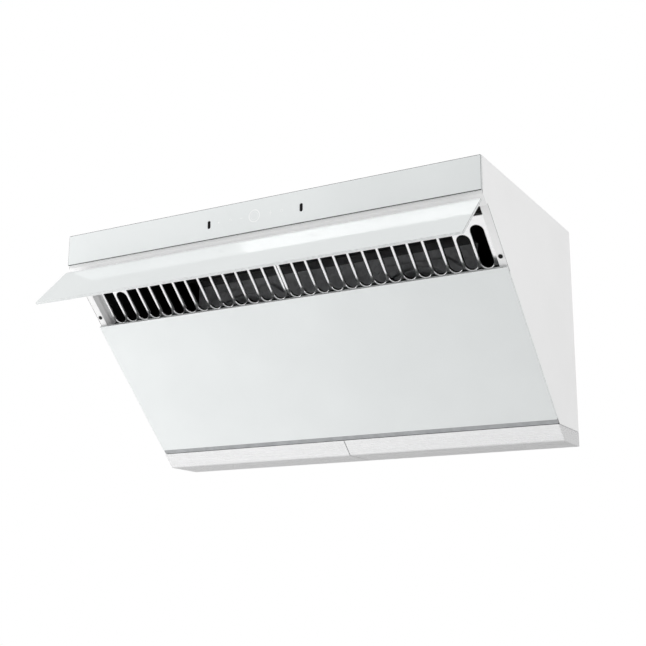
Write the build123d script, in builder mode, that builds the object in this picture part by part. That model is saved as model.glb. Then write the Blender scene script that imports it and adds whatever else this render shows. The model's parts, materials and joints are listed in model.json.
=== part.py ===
from build123d import *
import math
import os

# Under cabinet range hood. X runs along its width, Y into the wall, Z up.
# The origin is the middle of the flat back, where it meets the wall. Millimetres.

# Driving dimensions of the whole hood
WIDTH = 750.0               # across the front
DEPTH = 386.0               # wall to the face of the control panel
HEIGHT = 360.0              # underside of the trays to the top
CONTROL_HEIGHT = 53.0       # upright control panel
UNDERSIDE_DEPTH = 75.0      # flat underside in front of the wall
TRAY_HEIGHT = 22.4          # oil trays, cut off the foot of the slant
SHEET = 1.0                 # body and bracket steel
GLASS = 4.0                 # tempered glass panels
SEAM = 0.8                  # shadow gap between body and trays

HALF = WIDTH / 2
TOP_Z = HEIGHT / 2
BOTTOM_Z = -HEIGHT / 2
TRAY_TOP_Z = BOTTOM_Z + TRAY_HEIGHT
BODY_BOTTOM_Z = TRAY_TOP_Z + SEAM
INNER_X = HALF - SHEET      # inner face of the side panels
PANEL_BACK_Y = -DEPTH + GLASS

# The slanted front: s runs down it, d runs in from its face
SLANT_TOP_Z = TOP_Z - CONTROL_HEIGHT
SLANT_RUN = DEPTH - UNDERSIDE_DEPTH
SLANT_DROP = SLANT_TOP_Z - BOTTOM_Z
SLANT_LENGTH = math.hypot(SLANT_RUN, SLANT_DROP)
DOWN_Y = SLANT_RUN / SLANT_LENGTH
DOWN_Z = -SLANT_DROP / SLANT_LENGTH
OUT_Y = DOWN_Z
OUT_Z = -DOWN_Y

# Control panel
CONTROL_GAP = 0.5           # under the control glass
CORNER_R = 1.5              # corners of the glass panels
GLASS_CHAMFER = 0.5
HEADER_TOP_Z = TOP_Z - 39.0 # where the header sheet laps the control frame
BOARD_WIDE = 210.0
BOARD_TALL = 22.0
BOARD_THICK = 1.6
BOARD_Z = TOP_Z - 24.0
SENSOR_X = 84.5
SENSOR_Z = TOP_Z - 27.7
SENSOR_WIDE = 5.0
SENSOR_TALL = 12.8

# Vent recess under the flap
HEADER_END = 24.0           # header strip below the control glass
MAIN_TOP = 124.0            # upper edge of the main glass
PANEL_TOP = 135.0           # upper edge of the steel sheet behind it
MAIN_END = 396.6            # lower edge of the main glass
TRIM_END = 404.8            # grey strip below the main glass
FLANGE_DEPTH = 6.0          # side flanges lie this far under the glass face
FLANGE_INNER_X = 362.0
RECESS_DEPTH = 30.0
TAPE = 1.0                  # foam tape between glass and steel
RETURN_FRONT = 4.2          # where the front sheet's side returns start
SIDE_FOOT_DEPTH = 12.0      # depth of the side panel's edge at its foot
FOLD_GAP = 0.3              # seam between the returns and the side panels

# Flap and its hinge; the flap is drawn closed and stands open by a quarter turn
PIVOT_S = 11.0
PIVOT_D = 4.4
FLAP_TOP = 26.4
FLAP_END = 122.7
PAN_HALF = 357.0
PAN_TOP = 29.0
PAN_END = 109.0
PAN_DEPTH = 7.0
PAN_SHEET = 0.8
ARM_X = 335.0               # middle of each hinge arm
ARM_THICK = 3.0
PIN_R = 1.75
FIT = 0.05                  # radial clearance of a turning fit
BRACKET_X = 339.5           # inner face of each hinge bracket
BRACKET_THICK = 2.0
ARM_LEG = 4.0               # width of each leg of the hinge arm
ARM_REACH = 20.9            # depth of the middle of its cross leg
ARM_FOOT_S = 29.0
ARM_FOOT_END = 47.0
ARM_FOOT_THICK = 3.0
ARM_PAD_S = 41.0            # middle of the pad that is screwed to the pan
ARM_PAD_THICK = 1.5
ARM_PAD_WIDE = 24.0
ARM_PAD_TALL = 12.0
ARM_SCREW_STEP = 16.0       # between the two screws of one pad
BUMPER_X = 368.0
BUMPER_S = 109.0
BUMPER_R = 3.4
BUMPER_STEM_R = 1.7
BUMPER_HIGH = 1.8

# Grille, two halves that meet in the middle
GRILLE_D = 19.0
GRILLE_SHEET = 1.0
GRILLE_TOP = 45.3
GRILLE_END = 134.0
GRILLE_GAP = 0.5            # half of the joint in the middle
GRILLE_OUTER_X = 360.5
SLOTS = 14                  # in each half
SLOT_PITCH = 25.0
SLOT_FIRST = 15.2
SLOT_WIDE = 20.0
SLOT_TOP = 61.0
SLOT_END = 131.4
SHORT_SLOT = 12             # counted from the middle, cut short for a finger hold
SHORT_TOP = 73.5
SLOT_RIM = 3.0              # rolled rim behind each slot
EDGE_RIM = 7.0              # folded edge of each half
RIM_SHEET = 0.8             # wall of both rims
LEDGE_FOOT_DEPTH = 27.0     # lower end of the ledge under the grille

# Light bars above the grille
LED_MIDDLE_X = 170.0
LED_LONG = 300.0
LED_S = 35.0
LED_WIDE = 12.0
LED_TALL = 7.0
LED_WALL = 1.5
LENS_THICK = 2.0

# Blowers
FAN_X = 165.5
FAN_Z = 21.0
FAN_PLATE_Y = -150.0
FAN_PLATE_HALF = 272.0
FAN_PLATE_BOTTOM_Z = -95.0
BOSS_HIGH = 4.0             # raised panel round each inlet
BOSS_WIDE = 98.0            # half its width, then half its height
BOSS_TALL = 99.5
BOSS_TOP = 54.5             # half of its straight top edge, then of its side edge
BOSS_SIDE = 67.0
BOSS_CORNER = 0.4           # share of an inset that its straight edges lose
INLET_R = 88.5              # hole in the fan plate
SCROLL_BACK_Y = -51.0
SCROLL_FRONT_Y = FAN_PLATE_Y + SHEET
SCROLL_R_START = 94.0
SCROLL_R_END = 122.0
CUTOFF_ANGLE = 105.0
SCROLL_TOP_Z = 134.0
IMPELLER_R = 86.0
IMPELLER_FRONT_Y = -136.0
IMPELLER_BACK_Y = -62.0
BLADES = 36
BLADE_CIRCLE_R = 79.0
HUB_LONG = 26.0
DISC = 2.0                  # back disc and front ring of the impeller
CRIMP_GAP = 0.05            # between the blades and the disc and ring that hold them
SHAFT_R = 4.0
MOTOR_R = 48.0
MOTOR_BACK_Y = -15.0
MOTOR_FLANGE = 3.0
MOTOR_SCREW_CIRCLE_R = 52.0
PLENUM_FRONT_Y = -188.0
PLENUM_BACK_Y = -10.0

# Duct outlet in the top
DUCT_Y = -110.0
DUCT_R = 74.5
DUCT_HEIGHT = 38.0
DUCT_WALL = 1.2
DAMPER_Z = TOP_Z + 20.0
DAMPER_ROD_R = 2.0
COLLAR_FLANGE_R = 94.0
COLLAR_SCREW_R = 85.0
COLLAR_SLIP = 1.5           # the hole in the top is this much wider than the duct

# Power supply
BOX_X = 285.0
BOX_Y = -275.0
BOX_WIDE = 110.0
BOX_DEEP = 120.0
BOX_TALL = 34.0
BOX_WALL = 1.5
BOX_CORNER_R = 4.0
SUPPLY_X = 300.0
SUPPLY_Y = -110.0
SUPPLY_HOLE_R = 9.0
SUPPLY_BORE_R = 6.5
BUSHING_HEAD = 2.5
BUSHING_NECK = 9.0

# Oil trays
TRAY_BACK_Y = -0.5
TRAY_BACK_TOP_Z = BOTTOM_Z + 15.0
RUNNER_FOOT_Z = BOTTOM_Z + 17.0
DRAIN_X = 187.0
DRAIN_Y = -45.0
SPOUT_R = 8.0
TRAY_INNER_END = 0.5        # half of the joint between the two trays
TRAY_FRONT_R = 5.0          # fold between the tray's front and its underside
CORNER_SEAM = 0.4           # width and depth of the seam at the outer corner
CORNER_SEAM_INSET = 0.6
LIP_WIDE = 12.0
LIP_Z = RUNNER_FOOT_Z + SHEET + 0.2
LIP_FRONT_Y = -88.0
RUNNER_OVERLAP = 6.0

SIDES = (("left", -1), ("right", 1))

os.makedirs("parts", exist_ok=True)


def save(piece, label):
    piece.part.label = label
    export_step(piece.part, f"parts/{label}.step")


def slant(s, d):
    """Side view point (y, z), s down the slant and d in from its face."""
    return (-DEPTH + s * DOWN_Y - d * OUT_Y, SLANT_TOP_Z + s * DOWN_Z - d * OUT_Z)


def opened(s, d):
    """Side view point of the open flap for a point drawn on the closed one."""
    return slant(PIVOT_S + d - PIVOT_D, PIVOT_D - (s - PIVOT_S))


def slant_plane(d):
    """Plane along the slant at depth d, where local y is -s and z faces out."""
    y, z = slant(0, d)
    return Plane(origin=(0, y, z), x_dir=(1, 0, 0), z_dir=(0, OUT_Y, OUT_Z))


def flap_plane(d):
    """The same plane carried round with the open flap."""
    y, z = opened(0, d)
    return Plane(origin=(0, y, z), x_dir=(1, 0, 0), z_dir=(0, -DOWN_Y, -DOWN_Z))


def cross_plane(s):
    """Plane square across the slant at s, where local y is -d and z points down it."""
    y, z = slant(s, 0)
    return Plane(origin=(0, y, z), x_dir=(1, 0, 0), z_dir=(0, DOWN_Y, DOWN_Z))


def slant_s(y, d):
    """Distance down the slant at which depth d has this y."""
    return (y + DEPTH + d * OUT_Y) / DOWN_Y


def slant_s_at_z(z, d):
    """Distance down the slant at which depth d has this z."""
    return (z - SLANT_TOP_Z + d * OUT_Z) / DOWN_Z


# ---- Body shell ----

def side_panel(name, sign):
    foot = slant_s_at_z(BODY_BOTTOM_Z, SIDE_FOOT_DEPTH)
    corner = slant_s(PANEL_BACK_Y, 0)
    outline = [
        (0, TOP_Z),
        (PANEL_BACK_Y, TOP_Z),
        slant(corner, 0),
        slant(HEADER_END, 0),
        slant(HEADER_END, FLANGE_DEPTH),
        slant(PANEL_TOP, FLANGE_DEPTH),
        slant(foot, SIDE_FOOT_DEPTH),
        (0, BODY_BOTTOM_Z),
    ]
    with BuildPart() as panel:
        with BuildSketch(Plane.YZ.offset(sign * HALF)):
            with BuildLine():
                Polyline(*outline, close=True)
            make_face()
        extrude(amount=-sign * SHEET)
    save(panel, name)


def back_panel():
    slot_x, slot_z, slot_r, slot_length = 280.0, 120.0, 4.0, 20.0
    with BuildPart() as panel:
        with BuildSketch(Plane.XZ) as outline:
            with Locations((0, (TOP_Z - SHEET + BODY_BOTTOM_Z) / 2)):
                Rectangle(2 * INNER_X, TOP_Z - SHEET - BODY_BOTTOM_Z)
            with Locations((-slot_x, slot_z), (slot_x, slot_z)):
                SlotOverall(slot_length, 2 * slot_r, mode=Mode.SUBTRACT)
        extrude(amount=SHEET)
    save(panel, "back_panel")


def top_panel():
    screw_x, screw_near_y, screw_far_y, screw_r = 300.0, -60.0, -310.0, 3.0
    with BuildPart() as panel:
        with BuildSketch(Plane.XY.offset(TOP_Z - SHEET)):
            with Locations((0, PANEL_BACK_Y / 2)):
                Rectangle(2 * INNER_X, -PANEL_BACK_Y)
            with Locations((0, DUCT_Y)):
                Circle(DUCT_R + COLLAR_SLIP, mode=Mode.SUBTRACT)
            with Locations(*[(x, y) for x in (-screw_x, screw_x) for y in (screw_near_y, screw_far_y)]):
                Circle(screw_r, mode=Mode.SUBTRACT)
            with Locations((SUPPLY_X, SUPPLY_Y)):
                Circle(SUPPLY_HOLE_R, mode=Mode.SUBTRACT)
        extrude(amount=SHEET)
    save(panel, "top_panel")


def bottom_panel():
    front_y = -87.0
    with BuildPart() as panel:
        with BuildSketch(Plane.XY.offset(BODY_BOTTOM_Z)):
            with Locations((0, (front_y - SHEET) / 2)):
                Rectangle(2 * INNER_X, -front_y - SHEET)
            with Locations((-DRAIN_X, DRAIN_Y), (DRAIN_X, DRAIN_Y)):
                Circle(SPOUT_R, mode=Mode.SUBTRACT)
        extrude(amount=SHEET)
    save(panel, "bottom_panel")


def front_panel():
    """Steel sheet that carries the main glass, folded back along both sides."""
    end = slant_s_at_z(BODY_BOTTOM_Z + SHEET, FLANGE_DEPTH)
    return_back = SIDE_FOOT_DEPTH - FOLD_GAP
    side_return = [
        slant(PANEL_TOP, RETURN_FRONT),
        slant(PANEL_TOP, FLANGE_DEPTH - FOLD_GAP),
        slant(slant_s_at_z(BODY_BOTTOM_Z, return_back), return_back),
        slant(slant_s_at_z(BODY_BOTTOM_Z, RETURN_FRONT), RETURN_FRONT),
    ]
    with BuildPart() as panel:
        with BuildSketch(slant_plane(FLANGE_DEPTH)):
            with Locations((0, -(PANEL_TOP + end) / 2)):
                Rectangle(2 * INNER_X, end - PANEL_TOP)
        extrude(amount=FLANGE_DEPTH - GLASS - TAPE)
        for _, sign in SIDES:
            with BuildSketch(Plane.YZ.offset(sign * INNER_X)):
                with BuildLine():
                    Polyline(*side_return, close=True)
                make_face()
            extrude(amount=sign * SHEET)
    save(panel, "front_panel")


def header_panel():
    """Strip between the control glass and the vent, folded up behind the glass."""
    outline = [
        (PANEL_BACK_Y, HEADER_TOP_Z),
        slant(slant_s(PANEL_BACK_Y, 0), 0),
        slant(HEADER_END, 0),
        slant(HEADER_END, SHEET),
        slant(slant_s(PANEL_BACK_Y + SHEET, SHEET), SHEET),
        (PANEL_BACK_Y + SHEET, HEADER_TOP_Z),
    ]
    with BuildPart() as panel:
        with BuildSketch(Plane.YZ):
            with BuildLine():
                Polyline(*outline, close=True)
            make_face()
        extrude(amount=INNER_X, both=True)
    save(panel, "header_panel")


def control_frame():
    """Steel behind the control glass, with a window for the touch board."""
    top_z = TOP_Z - SHEET
    lip, slip = 20.0, 2.0
    with BuildPart() as backing:
        with BuildSketch(Plane.XZ.offset(-PANEL_BACK_Y - SHEET)):
            with Locations((0, (HEADER_TOP_Z + top_z) / 2)):
                Rectangle(2 * INNER_X, top_z - HEADER_TOP_Z)
            with Locations((0, BOARD_Z)):
                Rectangle(BOARD_WIDE + slip, BOARD_TALL + slip, mode=Mode.SUBTRACT)
        extrude(amount=SHEET)
        with BuildSketch(Plane.XY.offset(HEADER_TOP_Z)):
            with Locations((0, PANEL_BACK_Y + SHEET + lip / 2)):
                Rectangle(2 * INNER_X, lip)
        extrude(amount=SHEET)
    save(backing, "control_frame")


def vent_flange(name, sign):
    """Angle strip down one side of the vent: a flange and the wall of the recess."""
    clearance = 0.5
    with BuildPart() as strip:
        with BuildSketch(cross_plane(HEADER_END)):
            with Locations((sign * (FLANGE_INNER_X + INNER_X) / 2, -FLANGE_DEPTH - SHEET / 2)):
                Rectangle(INNER_X - FLANGE_INNER_X, SHEET)
            with Locations((sign * (FLANGE_INNER_X + SHEET / 2), -(FLANGE_DEPTH + RECESS_DEPTH) / 2)):
                Rectangle(SHEET, RECESS_DEPTH - FLANGE_DEPTH)
        extrude(amount=PANEL_TOP - clearance - HEADER_END)
        with BuildSketch(slant_plane(0)):
            with Locations((sign * BUMPER_X, -BUMPER_S)):
                Circle(BUMPER_STEM_R)
        extrude(amount=-FLANGE_DEPTH - 2 * SHEET, mode=Mode.SUBTRACT)
    save(strip, name)


# ---- Control panel ----

def control_glass():
    bottom_z = SLANT_TOP_Z + CONTROL_GAP
    with BuildPart() as glass:
        with BuildSketch(Plane.XZ.offset(-PANEL_BACK_Y)):
            with Locations((0, (TOP_Z + bottom_z) / 2)):
                RectangleRounded(WIDTH, TOP_Z - bottom_z, CORNER_R)
            with Locations((-SENSOR_X, SENSOR_Z), (SENSOR_X, SENSOR_Z)):
                SlotOverall(SENSOR_TALL, SENSOR_WIDE, rotation=90, mode=Mode.SUBTRACT)
        extrude(amount=GLASS)
        chamfer(glass.faces().sort_by(Axis.Y)[0].outer_wire().edges(), length=GLASS_CHAMFER)
    save(glass, "control_glass")


def sensor_windows():
    slip = 0.1
    with BuildPart() as windows:
        with BuildSketch(Plane.XZ.offset(-PANEL_BACK_Y)):
            with Locations((-SENSOR_X, SENSOR_Z), (SENSOR_X, SENSOR_Z)):
                SlotOverall(SENSOR_TALL - slip, SENSOR_WIDE - slip, rotation=90)
        extrude(amount=GLASS)
    save(windows, "sensor_windows")


def control_board():
    gap_to_glass, chip_high = 0.2, 2.5
    front = -PANEL_BACK_Y - gap_to_glass
    chips = [(-70, 12, 9), (-20, 16, 11), (35, 9, 9), (80, 18, 7)]
    with BuildPart() as board:
        with BuildSketch(Plane.XZ.offset(front - BOARD_THICK)):
            with Locations((0, BOARD_Z)):
                Rectangle(BOARD_WIDE, BOARD_TALL)
        extrude(amount=BOARD_THICK)
        with BuildSketch(Plane.XZ.offset(front - BOARD_THICK)):
            for x, wide, tall in chips:
                with Locations((x, BOARD_Z)):
                    Rectangle(wide, tall)
        extrude(amount=-chip_high)
    save(board, "control_board")


# ---- Main glass ----

def main_glass():
    with BuildPart() as glass:
        with BuildSketch(slant_plane(GLASS)):
            with Locations((0, -(MAIN_TOP + MAIN_END) / 2)):
                RectangleRounded(WIDTH, MAIN_END - MAIN_TOP, CORNER_R)
        extrude(amount=GLASS)
        chamfer(glass.faces().sort_by(Axis((0, 0, 0), (0, OUT_Y, OUT_Z)))[-1].edges(), length=GLASS_CHAMFER)
    save(glass, "main_glass")


def glass_tape():
    """Foam tape frame between the main glass and its steel sheet."""
    inset, wide = 5.0, 12.0
    start, end = PANEL_TOP + SHEET, MAIN_END - inset
    across = WIDTH - 2 * inset
    with BuildPart() as tape:
        with BuildSketch(slant_plane(GLASS + TAPE)):
            with Locations((0, -(start + end) / 2)):
                Rectangle(across, end - start)
                Rectangle(across - 2 * wide, end - start - 2 * wide, mode=Mode.SUBTRACT)
        extrude(amount=TAPE)
    save(tape, "glass_tape")


def glass_trim():
    """Grey strip that closes the gap below the main glass."""
    face, gap = 0.6, 0.2
    start = MAIN_END + gap
    with BuildPart() as trim:
        with BuildSketch(slant_plane(GLASS + TAPE)):
            with Locations((0, -(start + TRIM_END) / 2)):
                Rectangle(2 * INNER_X, TRIM_END - start)
        extrude(amount=GLASS + TAPE - face)
    save(trim, "glass_trim")


# ---- Grille ----

def grille(name, sign):
    middle_x = sign * (GRILLE_GAP + GRILLE_OUTER_X) / 2
    wide = GRILLE_OUTER_X - GRILLE_GAP
    centre_s = (GRILLE_TOP + GRILLE_END) / 2
    long_side = GRILLE_END - GRILLE_TOP
    back = GRILLE_D + GRILLE_SHEET
    corner_r = 2.0
    slots = []
    for k in range(SLOTS):
        start = SHORT_TOP if k == SHORT_SLOT else SLOT_TOP
        x = sign * (SLOT_FIRST + SLOT_PITCH * k)
        slots.append((x, -(start + SLOT_END) / 2, SLOT_END - start))
    with BuildPart() as half:
        with BuildSketch(slant_plane(back)):
            with Locations((middle_x, -centre_s)):
                RectangleRounded(wide, long_side, corner_r)
        extrude(amount=GRILLE_SHEET)
        with BuildSketch(slant_plane(back + EDGE_RIM)):
            with Locations((middle_x, -centre_s)):
                RectangleRounded(wide, long_side, corner_r)
                RectangleRounded(wide - 2 * RIM_SHEET, long_side - 2 * RIM_SHEET, corner_r - RIM_SHEET,
                                 mode=Mode.SUBTRACT)
        extrude(amount=EDGE_RIM)
        with BuildSketch(slant_plane(back + SLOT_RIM)):
            for x, y, tall in slots:
                with Locations((x, y)):
                    SlotOverall(tall + 2 * RIM_SHEET, SLOT_WIDE + 2 * RIM_SHEET, rotation=90)
        extrude(amount=SLOT_RIM)
        with BuildSketch(slant_plane(GRILLE_D)):
            for x, y, tall in slots:
                with Locations((x, y)):
                    SlotOverall(tall, SLOT_WIDE, rotation=90)
        extrude(amount=-GRILLE_SHEET - SLOT_RIM, mode=Mode.SUBTRACT)
    save(half, name)


def along_width(points, half_width, label):
    """A folded strip of constant section, given by its (y, z) outline."""
    with BuildPart() as strip:
        with BuildSketch(Plane.YZ):
            with BuildLine():
                Polyline(*points, close=True)
            make_face()
        extrude(amount=half_width, both=True)
    save(strip, label)


def grille_rail():
    """Rail above the grille: its lip holds the magnets, its web the light bars."""
    web, lip_s = RECESS_DEPTH + SHEET, GRILLE_TOP - 2.3
    start, lip_front, end_gap = 26.0, GRILLE_D + 1, 1.0
    points = [
        slant(start, web), slant(lip_s, web), slant(lip_s, lip_front), slant(lip_s + SHEET, lip_front),
        slant(lip_s + SHEET, web + SHEET), slant(start, web + SHEET),
    ]
    along_width(points, FLANGE_INNER_X - end_gap, "grille_rail")


def grille_ledge():
    """Ledge behind the main glass that the foot of the grille stands on."""
    top = GRILLE_END + 1
    lap_end, end_gap = top + 12.0, 2.0
    points = [
        slant(top, FLANGE_DEPTH), slant(lap_end, FLANGE_DEPTH), slant(lap_end, FLANGE_DEPTH + SHEET),
        slant(top + SHEET, FLANGE_DEPTH + SHEET), slant(top + SHEET, LEDGE_FOOT_DEPTH),
        slant(top, LEDGE_FOOT_DEPTH),
    ]
    along_width(points, FLANGE_INNER_X - end_gap, "grille_ledge")


def grille_magnets():
    thick, wide, deep = 1.2, 12.0, 6.0
    start, back = GRILLE_TOP - 1.3, GRILLE_D + 8.0
    with BuildPart() as magnets:
        with BuildSketch(slant_plane(back)):
            for x in (-300, -60, 60, 300):
                with Locations((x, -start - thick / 2)):
                    Rectangle(wide, thick)
        extrude(amount=deep)
    save(magnets, "grille_magnets")


# ---- Lights ----

def led_bars():
    """Two aluminium channels on the rail, open towards the front."""
    floor_thick = 2.0
    with BuildPart() as bars:
        with BuildSketch(slant_plane(RECESS_DEPTH + SHEET)):
            with Locations((-LED_MIDDLE_X, -LED_S), (LED_MIDDLE_X, -LED_S)):
                Rectangle(LED_LONG, LED_WIDE)
        extrude(amount=LED_TALL)
        with BuildSketch(slant_plane(RECESS_DEPTH + SHEET - LED_TALL)):
            with Locations((-LED_MIDDLE_X, -LED_S), (LED_MIDDLE_X, -LED_S)):
                Rectangle(LED_LONG - 2 * LED_WALL, LED_WIDE - 2 * LED_WALL)
        extrude(amount=-LED_TALL + floor_thick, mode=Mode.SUBTRACT)
    save(bars, "led_bars")


def led_lenses():
    shrink = 2 * LED_WALL + 0.4
    with BuildPart() as lenses:
        with BuildSketch(slant_plane(RECESS_DEPTH + SHEET - LED_TALL)):
            with Locations((-LED_MIDDLE_X, -LED_S), (LED_MIDDLE_X, -LED_S)):
                Rectangle(LED_LONG - shrink, LED_WIDE - shrink)
        extrude(amount=-LENS_THICK)
    save(lenses, "led_lenses")


# ---- Flap ----

def flap_glass():
    with BuildPart() as glass:
        with BuildSketch(flap_plane(GLASS)):
            with Locations((0, -(FLAP_TOP + FLAP_END) / 2)):
                RectangleRounded(WIDTH, FLAP_END - FLAP_TOP, CORNER_R)
        extrude(amount=GLASS)
        chamfer(glass.faces().sort_by(Axis((0, 0, 0), (0, -DOWN_Y, -DOWN_Z)))[-1].edges(), length=GLASS_CHAMFER)
    save(glass, "flap_glass")


def flap_pan():
    """Shallow steel pan bonded to the back of the flap glass."""
    back, corner_r = GLASS + PAN_DEPTH, 4.0
    centre = (0, -(PAN_TOP + PAN_END) / 2)
    tall = PAN_END - PAN_TOP
    with BuildPart() as pan:
        with BuildSketch(flap_plane(back)):
            with Locations(centre):
                RectangleRounded(2 * PAN_HALF, tall, corner_r)
        extrude(amount=PAN_DEPTH)
        with BuildSketch(flap_plane(back - PAN_SHEET)):
            with Locations(centre):
                RectangleRounded(2 * (PAN_HALF - PAN_SHEET), tall - 2 * PAN_SHEET, corner_r - PAN_SHEET)
        extrude(amount=PAN_DEPTH - PAN_SHEET, mode=Mode.SUBTRACT)
    save(pan, "flap_pan")


def hinge_arms():
    """Gooseneck arms that reach round the edge of the header to the pan."""
    half = ARM_LEG / 2
    back = GLASS + PAN_DEPTH
    eye_r = PIN_R + 1.25
    outline = [
        (PIVOT_S - half, PIVOT_D),
        (PIVOT_S - half, ARM_REACH + half),
        (ARM_FOOT_S + ARM_LEG, ARM_REACH + half),
        (ARM_FOOT_S + ARM_LEG, back + ARM_FOOT_THICK),
        (ARM_FOOT_END, back + ARM_FOOT_THICK),
        (ARM_FOOT_END, back),
        (ARM_FOOT_S, back),
        (ARM_FOOT_S, ARM_REACH - half),
        (PIVOT_S + half, ARM_REACH - half),
        (PIVOT_S + half, PIVOT_D),
    ]
    with BuildPart() as arms:
        for sign in (-1, 1):
            with BuildSketch(Plane.YZ.offset(sign * ARM_X)):
                with BuildLine():
                    Polyline(*[opened(s, d) for s, d in outline], close=True)
                make_face()
                with Locations(opened(PIVOT_S, PIVOT_D)):
                    Circle(eye_r)
                    Circle(PIN_R, mode=Mode.SUBTRACT)
            extrude(amount=ARM_THICK / 2, both=True)
            with BuildSketch(flap_plane(back + ARM_PAD_THICK)):
                with Locations((sign * ARM_X, -ARM_PAD_S)):
                    Rectangle(ARM_PAD_WIDE, ARM_PAD_TALL)
            extrude(amount=ARM_PAD_THICK)
    save(arms, "hinge_arms")


def hinge_pins():
    head_r, head_long, tail = 2.9, 2.0, 2.0
    y, z = slant(PIVOT_S, PIVOT_D)
    start = ARM_X - ARM_THICK / 2
    with BuildPart() as pins:
        for sign in (-1, 1):
            with BuildSketch(Plane.YZ.offset(sign * start)):
                with Locations((y, z)):
                    Circle(PIN_R)
            extrude(amount=sign * (BRACKET_X + BRACKET_THICK + tail - start))
            with BuildSketch(Plane.YZ.offset(sign * start)):
                with Locations((y, z)):
                    Circle(head_r)
            extrude(amount=-sign * head_long)
    save(pins, "hinge_pins")


def arm_screws():
    head_r, head_high = 3.0, 1.6
    back = GLASS + PAN_DEPTH + ARM_PAD_THICK
    with BuildPart() as screws:
        with BuildSketch(flap_plane(back + head_high)):
            for sign in (-1, 1):
                for dx in (-ARM_SCREW_STEP / 2, ARM_SCREW_STEP / 2):
                    with Locations((sign * ARM_X + dx, -ARM_PAD_S)):
                        Circle(head_r)
        extrude(amount=head_high)
        fillet(screws.faces().sort_by(Axis((0, 0, 0), (0, DOWN_Y, DOWN_Z)))[-4:].edges(), radius=0.8)
    save(screws, "arm_screws")


def hinge_brackets():
    """Plates behind the header that hold the hinge pins."""
    frame_y = PANEL_BACK_Y + SHEET
    back_y, shoulder_z = frame_y + 20.0, HEADER_TOP_Z - 10.0
    ear_s, ear_d = PIVOT_S + 6.0, PIVOT_D + 5.0
    outline = [
        (frame_y, HEADER_TOP_Z),
        (back_y, HEADER_TOP_Z),
        (back_y, shoulder_z),
        slant(ear_s, ear_d),
        slant(ear_s, SHEET),
        slant(slant_s(frame_y, SHEET), SHEET),
    ]
    with BuildPart() as brackets:
        for sign in (-1, 1):
            with BuildSketch(Plane.YZ.offset(sign * BRACKET_X)):
                with BuildLine():
                    Polyline(*outline, close=True)
                make_face()
                with Locations(slant(PIVOT_S, PIVOT_D)):
                    Circle(PIN_R + FIT, mode=Mode.SUBTRACT)
            extrude(amount=sign * BRACKET_THICK)
    save(brackets, "hinge_brackets")


def flap_bumpers():
    """Rubber stops that the closed flap lands on, pushed into the side flanges."""
    stem_long, dome_r = 3.0, 1.2
    with BuildPart() as bumpers:
        with BuildSketch(slant_plane(FLANGE_DEPTH)):
            with Locations((-BUMPER_X, -BUMPER_S), (BUMPER_X, -BUMPER_S)):
                Circle(BUMPER_R)
        extrude(amount=BUMPER_HIGH)
        fillet(bumpers.faces().sort_by(Axis((0, 0, 0), (0, OUT_Y, OUT_Z)))[-2:].edges(), radius=dome_r)
        with BuildSketch(slant_plane(FLANGE_DEPTH)):
            with Locations((-BUMPER_X, -BUMPER_S), (BUMPER_X, -BUMPER_S)):
                Circle(BUMPER_STEM_R)
        extrude(amount=-stem_long)
    save(bumpers, "flap_bumpers")


# ---- Blowers ----

def boss_outline(sign, inset):
    """Eight sided outline round an inlet, each half width and height shrunk by inset."""
    wide, tall = BOSS_WIDE - inset, BOSS_TALL - inset
    top_half, side_half = BOSS_TOP - BOSS_CORNER * inset, BOSS_SIDE - BOSS_CORNER * inset
    corners = [(wide, side_half), (top_half, tall), (-top_half, tall), (-wide, side_half)]
    corners += [(-x, -z) for x, z in corners]
    return [(sign * FAN_X + x, FAN_Z + z) for x, z in corners]


def fan_plate():
    """Upright plate in front of the blowers, pressed forward round their two inlets."""
    with BuildPart() as plate:
        with BuildSketch(Plane.XZ.offset(-SCROLL_FRONT_Y)):
            with Locations((0, (SCROLL_TOP_Z + FAN_PLATE_BOTTOM_Z) / 2)):
                Rectangle(2 * FAN_PLATE_HALF, SCROLL_TOP_Z - FAN_PLATE_BOTTOM_Z)
        extrude(amount=SHEET)
        for start_y, grow, mode in ((FAN_PLATE_Y, 0, Mode.ADD), (SCROLL_FRONT_Y, SHEET, Mode.SUBTRACT)):
            for sign in (-1, 1):
                for offset, inset in ((0, grow), (BOSS_HIGH, grow + BOSS_HIGH)):
                    with BuildSketch(Plane.XZ.offset(-start_y + offset)):
                        with BuildLine():
                            Polyline(*boss_outline(sign, inset), close=True)
                        make_face()
                loft(mode=mode)
        with BuildSketch(Plane.XZ.offset(-SCROLL_FRONT_Y)):
            with Locations((-FAN_X, FAN_Z), (FAN_X, FAN_Z)):
                Circle(INLET_R)
        extrude(amount=2 * BOSS_HIGH, mode=Mode.SUBTRACT)
    save(plate, "fan_plate")


def inlet_rings():
    """Bell mouths: a drip groove, then a lip that curves back into the throat."""
    groove_in, groove_out = 83.6, 89.0
    section = [
        (92.5, 1.0), (groove_out, 1.0), (groove_out, 9.0), (groove_in, 9.0), (groove_in, -3.0),
        (83.0, -3.6), (82.0, -3.6), (79.0, -1.4), (76.0, 3.0), (74.0, 8.0), (73.2, 12.5), (74.4, 12.5),
        (75.2, 8.4), (77.2, 3.6), (80.0, -0.4), (82.2, -2.0), (82.4, 10.2), (90.2, 10.2), (90.2, 2.2),
        (92.5, 2.2),
    ]
    with BuildPart() as rings:
        for sign in (-1, 1):
            axis_plane = Plane(origin=(sign * FAN_X, FAN_PLATE_Y, FAN_Z), x_dir=(1, 0, 0), z_dir=(0, 0, 1))
            with BuildSketch(axis_plane):
                with BuildLine():
                    Polyline(*section, close=True)
                make_face()
            revolve(axis=Axis((sign * FAN_X, FAN_PLATE_Y, FAN_Z), (0, 1, 0)))
    save(rings, "inlet_rings")


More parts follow.
